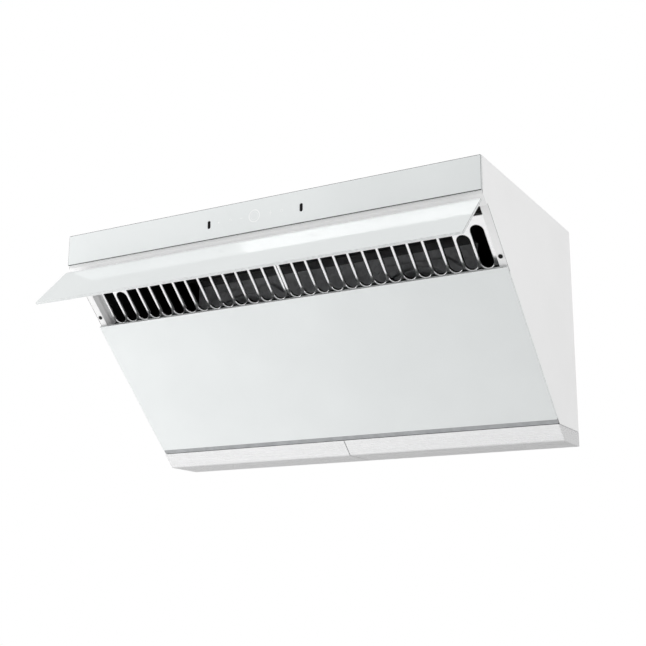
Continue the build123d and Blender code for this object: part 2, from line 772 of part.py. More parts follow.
def scroll_points(sign, inset):
    """Spiral wall seen from the front: its radius grows evenly from the cutoff."""
    steps, turn = 8, CUTOFF_ANGLE + 180.0
    points = []
    for k in range(steps + 1):
        share = k / steps
        angle = math.radians(CUTOFF_ANGLE - turn * share)
        radius = SCROLL_R_START + (SCROLL_R_END - SCROLL_R_START) * share - inset
        points.append((sign * (FAN_X + radius * math.cos(angle)), FAN_Z + radius * math.sin(angle)))
    return points


def scroll(name, sign):
    """Blower housing: spiral wall and back plate, open to the front and the top."""
    shaft_hole_r = 14.0
    with BuildPart() as housing:
        with BuildSketch(Plane.XZ.offset(-SCROLL_BACK_Y)):
            outer = scroll_points(sign, 0)
            with BuildLine():
                Spline(*outer)
                Polyline(outer[-1], (outer[-1][0], SCROLL_TOP_Z), (outer[0][0], SCROLL_TOP_Z), outer[0])
            make_face()
        extrude(amount=SCROLL_BACK_Y - SCROLL_FRONT_Y)
        with BuildSketch(Plane.XZ.offset(-SCROLL_BACK_Y + SHEET)):
            inner = scroll_points(sign, SHEET)
            top = SCROLL_TOP_Z + SHEET
            cutoff = (outer[0][0] - sign * SHEET, outer[0][1])
            with BuildLine():
                Spline(*inner)
                Polyline(inner[-1], (inner[-1][0], top), (cutoff[0], top), cutoff, inner[0])
            make_face()
        extrude(amount=SCROLL_BACK_Y - SCROLL_FRONT_Y, mode=Mode.SUBTRACT)
        with BuildSketch(Plane.XZ.offset(-SCROLL_BACK_Y)):
            with Locations((sign * FAN_X, FAN_Z)):
                Circle(shaft_hole_r)
        extrude(amount=SHEET, mode=Mode.SUBTRACT)
    save(housing, name)


def impeller(name, sign):
    """Squirrel cage wheel: back disc, hub and the curved blades crimped to the disc."""
    hub_r, blade_thick = 12.0, 1.0
    curve_r, curve_in, curve_aside, curve_angle, curve_span = 12.0, 7.0, 6.0, 46.0, 72.0
    centre = (sign * FAN_X, FAN_Z)
    blade_arc = CenterArc(
        center=(-curve_in, -sign * curve_aside),
        radius=curve_r,
        start_angle=sign * curve_angle - curve_span / 2,
        arc_size=curve_span,
        mode=Mode.PRIVATE,
    )
    with BuildPart() as wheel:
        with BuildSketch(Plane.XZ.offset(-IMPELLER_BACK_Y)):
            with Locations(centre):
                Circle(IMPELLER_R)
                Circle(SHAFT_R, mode=Mode.SUBTRACT)
        extrude(amount=DISC)
        with BuildSketch(Plane.XZ.offset(-IMPELLER_BACK_Y + DISC + CRIMP_GAP)):
            with Locations(centre):
                Circle(hub_r)
                Circle(SHAFT_R, mode=Mode.SUBTRACT)
        extrude(amount=HUB_LONG - CRIMP_GAP)
        with BuildSketch(Plane.XZ.offset(-IMPELLER_BACK_Y + DISC + CRIMP_GAP)):
            with Locations(centre):
                with PolarLocations(BLADE_CIRCLE_R, BLADES):
                    SlotArc(blade_arc, blade_thick)
        extrude(amount=IMPELLER_BACK_Y - IMPELLER_FRONT_Y - 2 * (DISC + CRIMP_GAP))
    save(wheel, name)


def impeller_ring(name, sign):
    """Front ring that the blades are crimped to."""
    inner_r = 74.0
    with BuildPart() as ring:
        with BuildSketch(Plane.XZ.offset(-IMPELLER_FRONT_Y - DISC)):
            with Locations((sign * FAN_X, FAN_Z)):
                Circle(IMPELLER_R)
                Circle(inner_r, mode=Mode.SUBTRACT)
        extrude(amount=DISC)
    save(ring, name)


def motor_shaft(name, sign):
    """Shaft with the nut that holds the impeller's hub."""
    front_y, back_y, nut_r, nut_thick = -96.0, -19.0, 7.5, 5.0
    with BuildPart() as shaft:
        with BuildSketch(Plane.XZ.offset(-back_y)):
            with Locations((sign * FAN_X, FAN_Z)):
                Circle(SHAFT_R)
        extrude(amount=back_y - front_y)
        with BuildSketch(Plane.XZ.offset(-IMPELLER_BACK_Y + DISC + HUB_LONG)):
            with Locations((sign * FAN_X, FAN_Z)):
                RegularPolygon(nut_r, 6)
        extrude(amount=nut_thick)
    save(shaft, name)


def motor(name, sign):
    """Motor on the back plate of the scroll, with a bearing bore for the shaft."""
    flange_r, cap_r, cap_thick, edge_r, bore_deep, screw_hole_r = 56.0, 22.0, 4.0, 6.0, 33.0, 2.0
    body_long = MOTOR_BACK_Y - SCROLL_BACK_Y - cap_thick
    centre = (sign * FAN_X, FAN_Z)
    with BuildPart() as case:
        with BuildSketch(Plane.XZ.offset(-SCROLL_BACK_Y)):
            with Locations(centre):
                Circle(flange_r)
        extrude(amount=-MOTOR_FLANGE)
        with BuildSketch(Plane.XZ.offset(-SCROLL_BACK_Y - MOTOR_FLANGE)):
            with Locations(centre):
                Circle(MOTOR_R)
        extrude(amount=-body_long + MOTOR_FLANGE)
        fillet(case.edges().filter_by(GeomType.CIRCLE).sort_by(Axis.Y)[-1], radius=edge_r)
        with BuildSketch(Plane.XZ.offset(-MOTOR_BACK_Y + cap_thick)):
            with Locations(centre):
                Circle(cap_r)
        extrude(amount=-cap_thick)
        with BuildSketch(Plane.XZ.offset(-SCROLL_BACK_Y)):
            with Locations(centre):
                Circle(SHAFT_R + FIT)
        extrude(amount=-bore_deep, mode=Mode.SUBTRACT)
        with BuildSketch(Plane.XZ.offset(-SCROLL_BACK_Y)):
            with Locations(centre):
                with PolarLocations(MOTOR_SCREW_CIRCLE_R, 3, start_angle=90):
                    Circle(screw_hole_r)
        extrude(amount=-MOTOR_FLANGE, mode=Mode.SUBTRACT)
    save(case, name)


def motor_screws():
    """Three screws a side, from the flange of the motor into the back plate."""
    head_r, head_high, thread_r = 3.5, 2.4, 1.9
    with BuildPart() as screws:
        for sign in (-1, 1):
            for radius, amount in ((head_r, -head_high), (thread_r, MOTOR_FLANGE)):
                with BuildSketch(Plane.XZ.offset(-SCROLL_BACK_Y - MOTOR_FLANGE)):
                    with Locations((sign * FAN_X, FAN_Z)):
                        with PolarLocations(MOTOR_SCREW_CIRCLE_R, 3, start_angle=90):
                            Circle(radius)
                extrude(amount=amount)
    save(screws, "motor_screws")


def plenum():
    """Box over the blower outlets that leads up to the round duct collar."""
    deep, middle_y = PLENUM_BACK_Y - PLENUM_FRONT_Y, (PLENUM_FRONT_Y + PLENUM_BACK_Y) / 2
    floor_z, top_z = SCROLL_TOP_Z, TOP_Z - SHEET
    lap = 2.0
    outlet_y = (SCROLL_FRONT_Y + SCROLL_BACK_Y) / 2
    outlet_left = scroll_points(1, SHEET)[-1][0]
    outlet_right = scroll_points(1, SHEET)[0][0]
    with BuildPart() as box:
        with BuildSketch(Plane.XY.offset(floor_z)):
            with Locations((0, middle_y)):
                Rectangle(2 * FAN_PLATE_HALF, deep)
        extrude(amount=top_z - floor_z)
        with BuildSketch(Plane.XY.offset(floor_z + SHEET)):
            with Locations((0, middle_y)):
                Rectangle(2 * FAN_PLATE_HALF - 2 * SHEET, deep - 2 * SHEET)
        extrude(amount=top_z - floor_z, mode=Mode.SUBTRACT)
        with BuildSketch(Plane.XY.offset(floor_z)):
            for sign in (-1, 1):
                with Locations((sign * (outlet_left + outlet_right) / 2, outlet_y)):
                    Rectangle(outlet_right - outlet_left, SCROLL_BACK_Y - SCROLL_FRONT_Y - lap)
        extrude(amount=SHEET, mode=Mode.SUBTRACT)
    save(box, "plenum")


# ---- Duct outlet ----

def duct_collar():
    with BuildPart() as collar:
        with BuildSketch(Plane.XY.offset(TOP_Z)):
            with Locations((0, DUCT_Y)):
                Circle(COLLAR_FLANGE_R)
                Circle(DUCT_R - DUCT_WALL, mode=Mode.SUBTRACT)
        extrude(amount=DUCT_WALL)
        with BuildSketch(Plane.XY.offset(TOP_Z)):
            with Locations((0, DUCT_Y)):
                Circle(DUCT_R)
                Circle(DUCT_R - DUCT_WALL, mode=Mode.SUBTRACT)
        extrude(amount=DUCT_HEIGHT)
        with BuildSketch(Plane.XZ.offset(-DUCT_Y)):
            with Locations((0, DAMPER_Z)):
                Circle(DAMPER_ROD_R)
        extrude(amount=DUCT_R + 1, both=True, mode=Mode.SUBTRACT)
    save(collar, "duct_collar")


def damper_rod():
    with BuildPart() as rod:
        with BuildSketch(Plane.XZ.offset(-DUCT_Y)):
            with Locations((0, DAMPER_Z)):
                Circle(DAMPER_ROD_R)
        extrude(amount=DUCT_R - 0.1, both=True)
    save(rod, "damper_rod")


def damper_flap(name, sign):
    """Half disc that turns up about the rod; its knuckles alternate with its twin's."""
    flap_r, thick, edge_x, knuckle_long = 71.5, 0.8, 4.2, 16.0
    knuckle_r, overlap = DAMPER_ROD_R + 1.4, 1.0
    knuckles = [sign * 12.0, -sign * 36.0, sign * 60.0]
    with BuildPart() as flap:
        with BuildSketch(Plane.XY.offset(DAMPER_Z - thick / 2)):
            with Locations((0, DUCT_Y)):
                Circle(flap_r)
            with Locations((sign * (edge_x - flap_r), DUCT_Y)):
                Rectangle(2 * flap_r, 2 * flap_r, mode=Mode.SUBTRACT)
            with Locations(*[(sign * edge_x / 2, DUCT_Y + y) for y in knuckles]):
                Rectangle(edge_x + overlap, knuckle_long)
        extrude(amount=thick)
        for y in knuckles:
            with BuildSketch(Plane.XZ.offset(-DUCT_Y - y)):
                with Locations((0, DAMPER_Z)):
                    Circle(knuckle_r)
            extrude(amount=knuckle_long / 2, both=True)
        with BuildSketch(Plane.XZ.offset(-DUCT_Y)):
            with Locations((0, DAMPER_Z)):
                Circle(DAMPER_ROD_R + FIT)
        extrude(amount=DUCT_R, both=True, mode=Mode.SUBTRACT)
    save(flap, name)


def screw_group(points, base_z, label):
    """Pan head screws standing in the given (x, y) places on a face at base_z."""
    head_r, head_high, edge_r = 3.6, 2.0, 1.0
    with BuildPart() as screws:
        with BuildSketch(Plane.XY.offset(base_z)):
            with Locations(*points):
                Circle(head_r)
        extrude(amount=head_high)
        fillet(screws.faces().group_by(Axis.Z)[-1].edges(), radius=edge_r)
    save(screws, label)


def collar_screws():
    places = []
    for k in range(4):
        angle = math.radians(45 + 90 * k)
        places.append((COLLAR_SCREW_R * math.cos(angle), DUCT_Y + COLLAR_SCREW_R * math.sin(angle)))
    screw_group(places, TOP_Z + DUCT_WALL, "collar_screws")


def top_screws():
    edge_x = INNER_X - 8.0
    places = [(sign * edge_x, y) for sign in (-1, 1) for y in (-20, -110, -200, -290, -370)]
    screw_group(places, TOP_Z, "top_screws")


# ---- Power supply ----

def control_box():
    top_z = TOP_Z - SHEET
    with BuildPart() as box:
        with BuildSketch(Plane.XY.offset(top_z - BOX_TALL)):
            with Locations((BOX_X, BOX_Y)):
                RectangleRounded(BOX_WIDE, BOX_DEEP, BOX_CORNER_R)
                RectangleRounded(BOX_WIDE - 2 * BOX_WALL, BOX_DEEP - 2 * BOX_WALL, BOX_CORNER_R - BOX_WALL,
                                 mode=Mode.SUBTRACT)
        extrude(amount=BOX_TALL)
        with BuildSketch(Plane.XY.offset(top_z - BOX_WALL)):
            with Locations((BOX_X, BOX_Y)):
                RectangleRounded(BOX_WIDE, BOX_DEEP, BOX_CORNER_R)
        extrude(amount=BOX_WALL)
    save(box, "control_box")


def control_box_cover():
    with BuildPart() as cover:
        with BuildSketch(Plane.XY.offset(TOP_Z - SHEET - BOX_TALL)):
            with Locations((BOX_X, BOX_Y)):
                RectangleRounded(BOX_WIDE, BOX_DEEP, BOX_CORNER_R)
        extrude(amount=-BOX_WALL)
    save(cover, "control_box_cover")


def power_board():
    """Supply board with its transformer, relays and capacitors."""
    stand_off, edge_gap, can_r, can_high = 6.0, 5.0, 7.0, 16.0
    board_z = TOP_Z - SHEET - BOX_TALL + stand_off
    blocks = [(-30, -30, 28, 32, 18), (15, -35, 15, 12, 14), (36, -35, 15, 12, 14), (20, 10, 22, 30, 10)]
    with BuildPart() as board:
        with BuildSketch(Plane.XY.offset(board_z)):
            with Locations((BOX_X, BOX_Y)):
                Rectangle(BOX_WIDE - 2 * edge_gap, BOX_DEEP - 2 * edge_gap)
        extrude(amount=BOARD_THICK)
        for x, y, wide, deep, high in blocks:
            with BuildSketch(Plane.XY.offset(board_z + BOARD_THICK)):
                with Locations((BOX_X + x, BOX_Y + y)):
                    Rectangle(wide, deep)
            extrude(amount=high)
        with BuildSketch(Plane.XY.offset(board_z + BOARD_THICK)):
            with Locations((BOX_X - 35, BOX_Y + 25), (BOX_X - 20, BOX_Y + 40)):
                Circle(can_r)
        extrude(amount=can_high)
    save(board, "power_board")


def supply_bushing():
    """Snap bushing through which the building's supply cable enters."""
    head_lap = 3.0
    with BuildPart() as bushing:
        with BuildSketch(Plane.XY.offset(TOP_Z)):
            with Locations((SUPPLY_X, SUPPLY_Y)):
                Circle(SUPPLY_HOLE_R + head_lap)
        extrude(amount=BUSHING_HEAD)
        with BuildSketch(Plane.XY.offset(TOP_Z)):
            with Locations((SUPPLY_X, SUPPLY_Y)):
                Circle(SUPPLY_HOLE_R - FIT)
        extrude(amount=-BUSHING_NECK)
        with BuildSketch(Plane.XY.offset(TOP_Z + BUSHING_HEAD)):
            with Locations((SUPPLY_X, SUPPLY_Y)):
                Circle(SUPPLY_BORE_R)
        extrude(amount=-BUSHING_HEAD - BUSHING_NECK, mode=Mode.SUBTRACT)
    save(bushing, "supply_bushing")


# ---- Oil trays ----

def tray_outline(inset):
    """Side view of a tray, shrunk by inset at the front, the foot and the back."""
    foot_z = BOTTOM_Z + inset
    front_s = slant_s_at_z(TRAY_TOP_Z, inset)
    return [
        slant(front_s, inset),
        slant(slant_s_at_z(foot_z, inset), inset),
        (TRAY_BACK_Y - inset, foot_z),
        (TRAY_BACK_Y - inset, TRAY_TOP_Z),
    ]


def oil_tray(name, sign):
    """Folded trough under the body, open at the top."""
    start, end = sign * TRAY_INNER_END, sign * HALF
    seam_long = 100.0
    with BuildPart() as tray:
        with BuildSketch(Plane.YZ.offset(start)):
            with BuildLine():
                Polyline(*tray_outline(0), close=True)
            make_face()
        extrude(amount=end - start)
        underside = tray.faces().sort_by(Axis.Z)[0]
        fillet(underside.edges().filter_by(Axis.X).sort_by(Axis.Y)[0], radius=TRAY_FRONT_R)
        with BuildSketch(Plane.YZ.offset(start + sign * SHEET)):
            with BuildLine():
                Polyline(*tray_outline(SHEET), close=True)
            make_face()
        extrude(amount=end - start - sign * 2 * SHEET, mode=Mode.SUBTRACT)
        with BuildSketch(Plane.XZ.offset(-TRAY_BACK_Y)):
            with Locations(((start + end) / 2, (TRAY_BACK_TOP_Z + TRAY_TOP_Z) / 2)):
                Rectangle(HALF - TRAY_INNER_END - 2 * SHEET, TRAY_TOP_Z - TRAY_BACK_TOP_Z)
        extrude(amount=SHEET, mode=Mode.SUBTRACT)
        with BuildSketch(slant_plane(CORNER_SEAM)):
            with Locations((end - sign * CORNER_SEAM_INSET, -SLANT_LENGTH)):
                Rectangle(CORNER_SEAM, seam_long)
        extrude(amount=CORNER_SEAM, mode=Mode.SUBTRACT)
    save(tray, name)


def tray_lips(name, sign):
    """Two strips welded inside the ends of a tray, which slide on the runners."""
    start, end = sign * TRAY_INNER_END, sign * HALF
    with BuildPart() as lips:
        with BuildSketch(Plane.XY.offset(LIP_Z)):
            for x in (start + sign * (SHEET + LIP_WIDE / 2), end - sign * (SHEET + LIP_WIDE / 2)):
                with Locations((x, (TRAY_BACK_Y + LIP_FRONT_Y) / 2)):
                    Rectangle(LIP_WIDE, TRAY_BACK_Y - LIP_FRONT_Y)
        extrude(amount=SHEET)
    save(lips, name)


def tray_runners():
    """Four angle rails under the body that carry the lips of the trays."""
    foot_wide, front_y, back_y = 10.0, -84.0, -4.0
    web_tall = BODY_BOTTOM_Z - RUNNER_FOOT_Z
    outer_foot_x = HALF - SHEET - LIP_WIDE + RUNNER_OVERLAP - foot_wide / 2
    inner_foot_x = TRAY_INNER_END + SHEET + LIP_WIDE - RUNNER_OVERLAP + foot_wide / 2
    outer_web_x = outer_foot_x - (foot_wide - SHEET) / 2
    inner_web_x = inner_foot_x + (foot_wide - SHEET) / 2
    middle_y = (front_y + back_y) / 2
    with BuildPart() as runners:
        for sign in (-1, 1):
            with BuildSketch(Plane.XY.offset(RUNNER_FOOT_Z)):
                with Locations((sign * outer_foot_x, middle_y), (sign * inner_foot_x, middle_y)):
                    Rectangle(foot_wide, back_y - front_y)
            extrude(amount=SHEET)
            with BuildSketch(Plane.XY.offset(RUNNER_FOOT_Z)):
                with Locations((sign * outer_web_x, middle_y), (sign * inner_web_x, middle_y)):
                    Rectangle(SHEET, back_y - front_y)
            extrude(amount=web_tall)
    save(runners, "tray_runners")


def drain_spouts():
    """Short tubes that let oil fall from the floor of the body into the trays."""
    wall, tall, flange_r = 1.5, BODY_BOTTOM_Z - RUNNER_FOOT_Z, 13.0
    with BuildPart() as spouts:
        with BuildSketch(Plane.XY.offset(RUNNER_FOOT_Z)):
            with Locations((-DRAIN_X, DRAIN_Y), (DRAIN_X, DRAIN_Y)):
                Circle(SPOUT_R)
        extrude(amount=tall + SHEET)
        with BuildSketch(Plane.XY.offset(BODY_BOTTOM_Z + SHEET)):
            with Locations((-DRAIN_X, DRAIN_Y), (DRAIN_X, DRAIN_Y)):
                Circle(flange_r)
        extrude(amount=SHEET)
        with BuildSketch(Plane.XY.offset(RUNNER_FOOT_Z)):
            with Locations((-DRAIN_X, DRAIN_Y), (DRAIN_X, DRAIN_Y)):
                Circle(SPOUT_R - wall)
        extrude(amount=tall + 2 * SHEET, mode=Mode.SUBTRACT)
    save(spouts, "drain_spouts")


def main():
    for side, sign in SIDES:
        side_panel(f"side_panel_{side}", sign)
        vent_flange(f"vent_flange_{side}", sign)
        grille(f"grille_{side}", sign)
        scroll(f"scroll_{side}", sign)
        impeller(f"impeller_{side}", sign)
        impeller_ring(f"impeller_ring_{side}", sign)
        motor_shaft(f"motor_shaft_{side}", sign)
        motor(f"motor_{side}", sign)
        damper_flap(f"damper_flap_{side}", sign)
        oil_tray(f"oil_tray_{side}", sign)
        tray_lips(f"tray_lips_{side}", sign)
    back_panel()
    top_panel()
    bottom_panel()
    front_panel()
    header_panel()
    control_frame()
    control_glass()
    sensor_windows()
    control_board()
    main_glass()
    glass_tape()
    glass_trim()
    grille_rail()
    grille_ledge()
    grille_magnets()
    led_bars()
    led_lenses()
    flap_glass()
    flap_pan()
    hinge_arms()
    hinge_brackets()
    hinge_pins()
    arm_screws()
    flap_bumpers()
    fan_plate()
    inlet_rings()
    motor_screws()
    plenum()
    duct_collar()
    damper_rod()
    collar_screws()
    top_screws()
    control_box()
    control_box_cover()
    power_board()
    supply_bushing()
    tray_runners()
    drain_spouts()


main()
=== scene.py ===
import json
import math

import bmesh
import bpy
from mathutils import Matrix, Vector

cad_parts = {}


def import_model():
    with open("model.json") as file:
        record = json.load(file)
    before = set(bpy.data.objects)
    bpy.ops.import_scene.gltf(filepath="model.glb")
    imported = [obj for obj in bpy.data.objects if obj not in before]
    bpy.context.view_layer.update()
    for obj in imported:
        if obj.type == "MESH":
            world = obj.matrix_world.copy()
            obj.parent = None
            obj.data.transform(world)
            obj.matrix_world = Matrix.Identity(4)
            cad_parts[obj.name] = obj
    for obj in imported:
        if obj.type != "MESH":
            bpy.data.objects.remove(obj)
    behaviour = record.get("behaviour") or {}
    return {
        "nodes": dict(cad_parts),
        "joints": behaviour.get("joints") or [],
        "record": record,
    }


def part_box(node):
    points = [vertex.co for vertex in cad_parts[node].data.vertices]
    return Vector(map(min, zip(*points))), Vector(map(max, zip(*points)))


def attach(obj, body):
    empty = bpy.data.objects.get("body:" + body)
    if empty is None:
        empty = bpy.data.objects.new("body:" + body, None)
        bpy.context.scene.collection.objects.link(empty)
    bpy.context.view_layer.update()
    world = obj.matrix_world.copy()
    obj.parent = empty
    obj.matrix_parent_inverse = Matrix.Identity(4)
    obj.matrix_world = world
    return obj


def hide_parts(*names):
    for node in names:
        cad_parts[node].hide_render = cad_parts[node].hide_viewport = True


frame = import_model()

MM = 0.001
NODES = frame["nodes"]
JOINTS = {joint["name"]: joint for joint in frame["joints"]}
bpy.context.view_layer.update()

# ---- Places read from the frame, in metres ----

control_low, control_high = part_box("control_glass")
tray_low, tray_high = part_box("oil_tray_right")
HALF_WIDTH = control_high.x
FACE_Y = control_low.y
TOP_Z = control_high.z
GLASS = control_high.y - control_low.y      # thickness of all three glass panels
CONTROL_GAP = 0.5 * MM      # from the control glass down to where the slant starts
PIVOT = Vector(JOINTS["vent_flap_hinge"]["pos_m"])

UP = Vector((0, 0, 1))
FRONT = Vector((0, -1, 0))

# The slanted front: s runs down it, d runs in from its face
SLANT_START = Vector((0, FACE_Y, control_low.z - CONTROL_GAP))
SLANT_FOOT = Vector((0, tray_low.y, tray_high.z))
DOWN = (SLANT_FOOT - SLANT_START).normalized()
OUT = Vector((0, DOWN.z, -DOWN.y))
SLANT_TURN = math.atan2(-DOWN.z, DOWN.y)


def slant_s(point):
    """Distance of a point down the slant."""
    return (Vector(point) - SLANT_START).dot(DOWN)


def slant_d(point):
    """Depth of a point behind the slant's face."""
    return -(Vector(point) - SLANT_START).dot(OUT)


def spread(node, measure):
    """Least and greatest value of a measure over the corners of a CAD node."""
    values = [measure(v.co) for v in NODES[node].data.vertices]
    return min(values), max(values)


# ---- Helpers for material nodes ----

def material(name, **values):
    """A Principled material with constant values set on its own sockets."""
    made = bpy.data.materials.new(name)
    made.use_nodes = True
    for key, value in values.items():
        shader_of(made).inputs[key.replace("_", " ")].default_value = value
    return made


def shader_of(mat):
    return mat.node_tree.nodes["Principled BSDF"]


def add(mat, kind, inputs=None, **settings):
    made = mat.node_tree.nodes.new(kind)
    for key, value in settings.items():
        setattr(made, key, value)
    for key, value in (inputs or {}).items():
        made.inputs[key].default_value = value
    return made


def link(mat, source, target):
    mat.node_tree.links.new(source, target)


def local_coords(mat, stretch=(1, 1, 1), turn_x=0.0):
    """Object coordinates in metres, turned about X and then stretched per axis."""
    coords = add(mat, "ShaderNodeTexCoord")
    turned = add(mat, "ShaderNodeMapping", {"Rotation": (turn_x, 0, 0)})
    mapping = add(mat, "ShaderNodeMapping", {"Scale": stretch})
    link(mat, coords.outputs["Object"], turned.inputs["Vector"])
    link(mat, turned.outputs["Vector"], mapping.inputs["Vector"])
    return mapping.outputs["Vector"]


def axes_of(mat, vector):
    axes = add(mat, "ShaderNodeSeparateXYZ")
    link(mat, vector, axes.inputs["Vector"])
    return axes.outputs


def noise(mat, vector, scale, detail=3.0, roughness=0.5):
    made = add(mat, "ShaderNodeTexNoise", {"Scale": scale, "Detail": detail, "Roughness": roughness})
    link(mat, vector, made.inputs["Vector"])
    return made.outputs["Fac"]


def span(mat, value, low, high, into, start=0.3, stop=0.7):
    """Maps a value from start..stop onto low..high of an input."""
    limits = {"From Min": start, "From Max": stop, "To Min": low, "To Max": high}
    made = add(mat, "ShaderNodeMapRange", limits)
    link(mat, value, made.inputs["Value"])
    link(mat, made.outputs["Result"], into)


def roughen(mat, value, low, high, start=0.3, stop=0.7):
    """Roughness that goes from low to high as the value rises."""
    span(mat, value, low, high, shader_of(mat).inputs["Roughness"], start, stop)


def tint(mat, value, dark, light, start=0.35, stop=0.65):
    """Base colour that goes from dark to light as the value rises."""
    made = add(mat, "ShaderNodeValToRGB")
    made.color_ramp.elements[0].position = start
    made.color_ramp.elements[1].position = stop
    made.color_ramp.elements[0].color = (*dark, 1)
    made.color_ramp.elements[1].color = (*light, 1)
    link(mat, value, made.inputs["Fac"])
    link(mat, made.outputs["Color"], shader_of(mat).inputs["Base Color"])
    return made.outputs["Color"]


def bump(mat, height, strength, distance, under=None):
    """Bump in metres; under is the normal that it is laid over."""
    made = add(mat, "ShaderNodeBump", {"Strength": strength, "Distance": distance})
    link(mat, height, made.inputs["Height"])
    if under is not None:
        link(mat, under, made.inputs["Normal"])
    link(mat, made.outputs["Normal"], shader_of(mat).inputs["Normal"])
    return made.outputs["Normal"]


# ---- Materials ----

SKIN = 0.6 * MM             # anything deeper than this is inside the sheet shell
# near black painted on the inner faces in place of the shade inside the hood
INSIDE_SHADE = (0.022, 0.022, 0.023, 1)


def shade_inside(mat):
    """Painted shade: near black on everything within the hood's skin, by place in the frame, standing for
    the shade inside the hood.
    """
    base = shader_of(mat).inputs["Base Color"]
    outside = base.links[0].from_socket
    coords = add(mat, "ShaderNodeTexCoord").outputs["Object"]
    axes = axes_of(mat, coords)
    width = add(mat, "ShaderNodeMath", operation="ABSOLUTE")
    link(mat, axes["X"], width.inputs[0])
    depth = add(mat, "ShaderNodeVectorMath", operation="DOT_PRODUCT")
    depth.inputs[1].default_value = OUT
    link(mat, coords, depth.inputs[0])
    limits = (
        (width.outputs[0], HALF_WIDTH - SKIN),
        (axes["Y"], -SKIN),
        (axes["Z"], TOP_Z - SKIN),
        (depth.outputs["Value"], SLANT_START.dot(OUT) - SKIN),
    )
    inside = None
    for value, limit in limits:
        test = add(mat, "ShaderNodeMath", {1: limit}, operation="LESS_THAN")
        link(mat, value, test.inputs[0])
        if inside is None:
            inside = test.outputs[0]
            continue
        both = add(mat, "ShaderNodeMath", operation="MULTIPLY")
        link(mat, inside, both.inputs[0])
        link(mat, test.outputs[0], both.inputs[1])
        inside = both.outputs[0]
    mix = add(mat, "ShaderNodeMix", {"B": INSIDE_SHADE}, data_type="RGBA")
    link(mat, inside, mix.inputs["Factor"])
    link(mat, outside, mix.inputs["A"])
    link(mat, mix.outputs["Result"], base)
    return mat


def painted_glass(name, fade=0.0):
    """White paint behind tempered glass, with a faint roller wave and finger film. Its tone
    falls by the given share from the middle to the right end: painted shade, standing for less light
    falling there."""
    mat = material(name, IOR=1.52)
    vector = local_coords(mat)
    paint = tint(mat, noise(mat, vector, 7.0, 2.0), (0.80, 0.825, 0.825), (0.825, 0.85, 0.85))
    # painted shade: the paint goes darker towards the right end
    shaded_paint = add(mat, "ShaderNodeVectorMath", operation="SCALE")
    link(mat, paint, shaded_paint.inputs[0])
    span(mat, axes_of(mat, vector)["X"], 1.0, 1.0 - fade, shaded_paint.inputs["Scale"], 0.0, HALF_WIDTH)
    link(mat, shaded_paint.outputs["Vector"], shader_of(mat).inputs["Base Color"])
    roughen(mat, noise(mat, vector, 26.0, 5.0), 0.035, 0.075)
    bump(mat, noise(mat, local_coords(mat, (0.4, 1, 1)), 9.0, 1.0), 0.05, 0.4 * MM)
    return mat


def glass_edge(name, dark, light, ior=1.5):
    """Ground edge of a glass panel, a little uneven."""
    mat = material(name, IOR=ior)
    vector = local_coords(mat)
    tint(mat, noise(mat, vector, 160.0), dark, light)
    roughen(mat, noise(mat, vector, 420.0), 0.22, 0.38)
    bump(mat, noise(mat, vector, 1600.0, 2.0), 0.15, 0.05 * MM)
    return mat


def powder_coat(name, dark=0.86, light=0.885):
    """Satin white powder coat with a fine orange peel over a slow wave of the sheet."""
    mat = material(name, IOR=1.45)
    vector = local_coords(mat)
    tint(mat, noise(mat, vector, 5.0), (dark, dark, dark), (light, light, light))
    roughen(mat, noise(mat, vector, 60.0, 4.0), 0.30, 0.40)
    peel = bump(mat, noise(mat, vector, 900.0, 2.0), 0.12, 0.05 * MM)
    bump(mat, noise(mat, vector, 14.0, 2.0), 0.08, 0.3 * MM, peel)
    return mat


def brushed(name, dark, light, rough, stretch, turn_x=0.0, depth=0.18):
    """Metal brushed along the axis with the small stretch."""
    mat = material(name, Metallic=1.0)
    streaks = noise(mat, local_coords(mat, stretch, turn_x), 1.0, 6.0, 0.65)
    wide_streaks = noise(mat, local_coords(mat, tuple(v * 0.4 for v in stretch), turn_x), 1.0, 5.0)
    tint(mat, streaks, dark, light)
    roughen(mat, wide_streaks, *rough)
    bump(mat, streaks, depth, 0.03 * MM)
    return mat


def galvanised(name):
    """Zinc coated sheet: soft grey crystals of slightly different brightness."""
    mat = material(name, Metallic=0.6)
    vector = local_coords(mat)
    crystals = add(mat, "ShaderNodeTexVoronoi", {"Scale": 130.0, "Randomness": 1.0})
    link(mat, vector, crystals.inputs["Vector"])
    grey = add(mat, "ShaderNodeSeparateColor")
    link(mat, crystals.outputs["Color"], grey.inputs["Color"])
    tint(mat, grey.outputs["Red"], (0.56, 0.57, 0.59), (0.68, 0.69, 0.71), 0.1, 0.9)
    roughen(mat, grey.outputs["Green"], 0.34, 0.52, 0.0, 1.0)
    bump(mat, noise(mat, vector, 300.0), 0.08, 0.05 * MM)
    return mat


def moulded(name, dark, light, rough, grain=900.0, strength=0.2, **values):
    """Plastic, rubber or paint with a fine grain."""
    mat = material(name, **values)
    vector = local_coords(mat)
    tint(mat, noise(mat, vector, 60.0), dark, light)
    roughen(mat, noise(mat, vector, 220.0), *rough)
    bump(mat, noise(mat, vector, grain, 2.0), strength, 0.06 * MM)
    return mat


def circuit():
    """Green solder mask with faint tracks and lighter gaps between them."""
    mat = material("circuit_board", IOR=1.5)
    vector = local_coords(mat)
    tracks = add(mat, "ShaderNodeTexBrick", {
        "Scale": 120.0, "Mortar Size": 0.06, "Color1": (0.02, 0.16, 0.07, 1),
        "Color2": (0.03, 0.20, 0.09, 1), "Mortar": (0.10, 0.34, 0.18, 1)})
    link(mat, vector, tracks.inputs["Vector"])
    link(mat, tracks.outputs["Color"], shader_of(mat).inputs["Base Color"])
    roughen(mat, noise(mat, vector, 200.0), 0.25, 0.40)
    bump(mat, tracks.outputs["Fac"], 0.2, 0.05 * MM)
    return mat


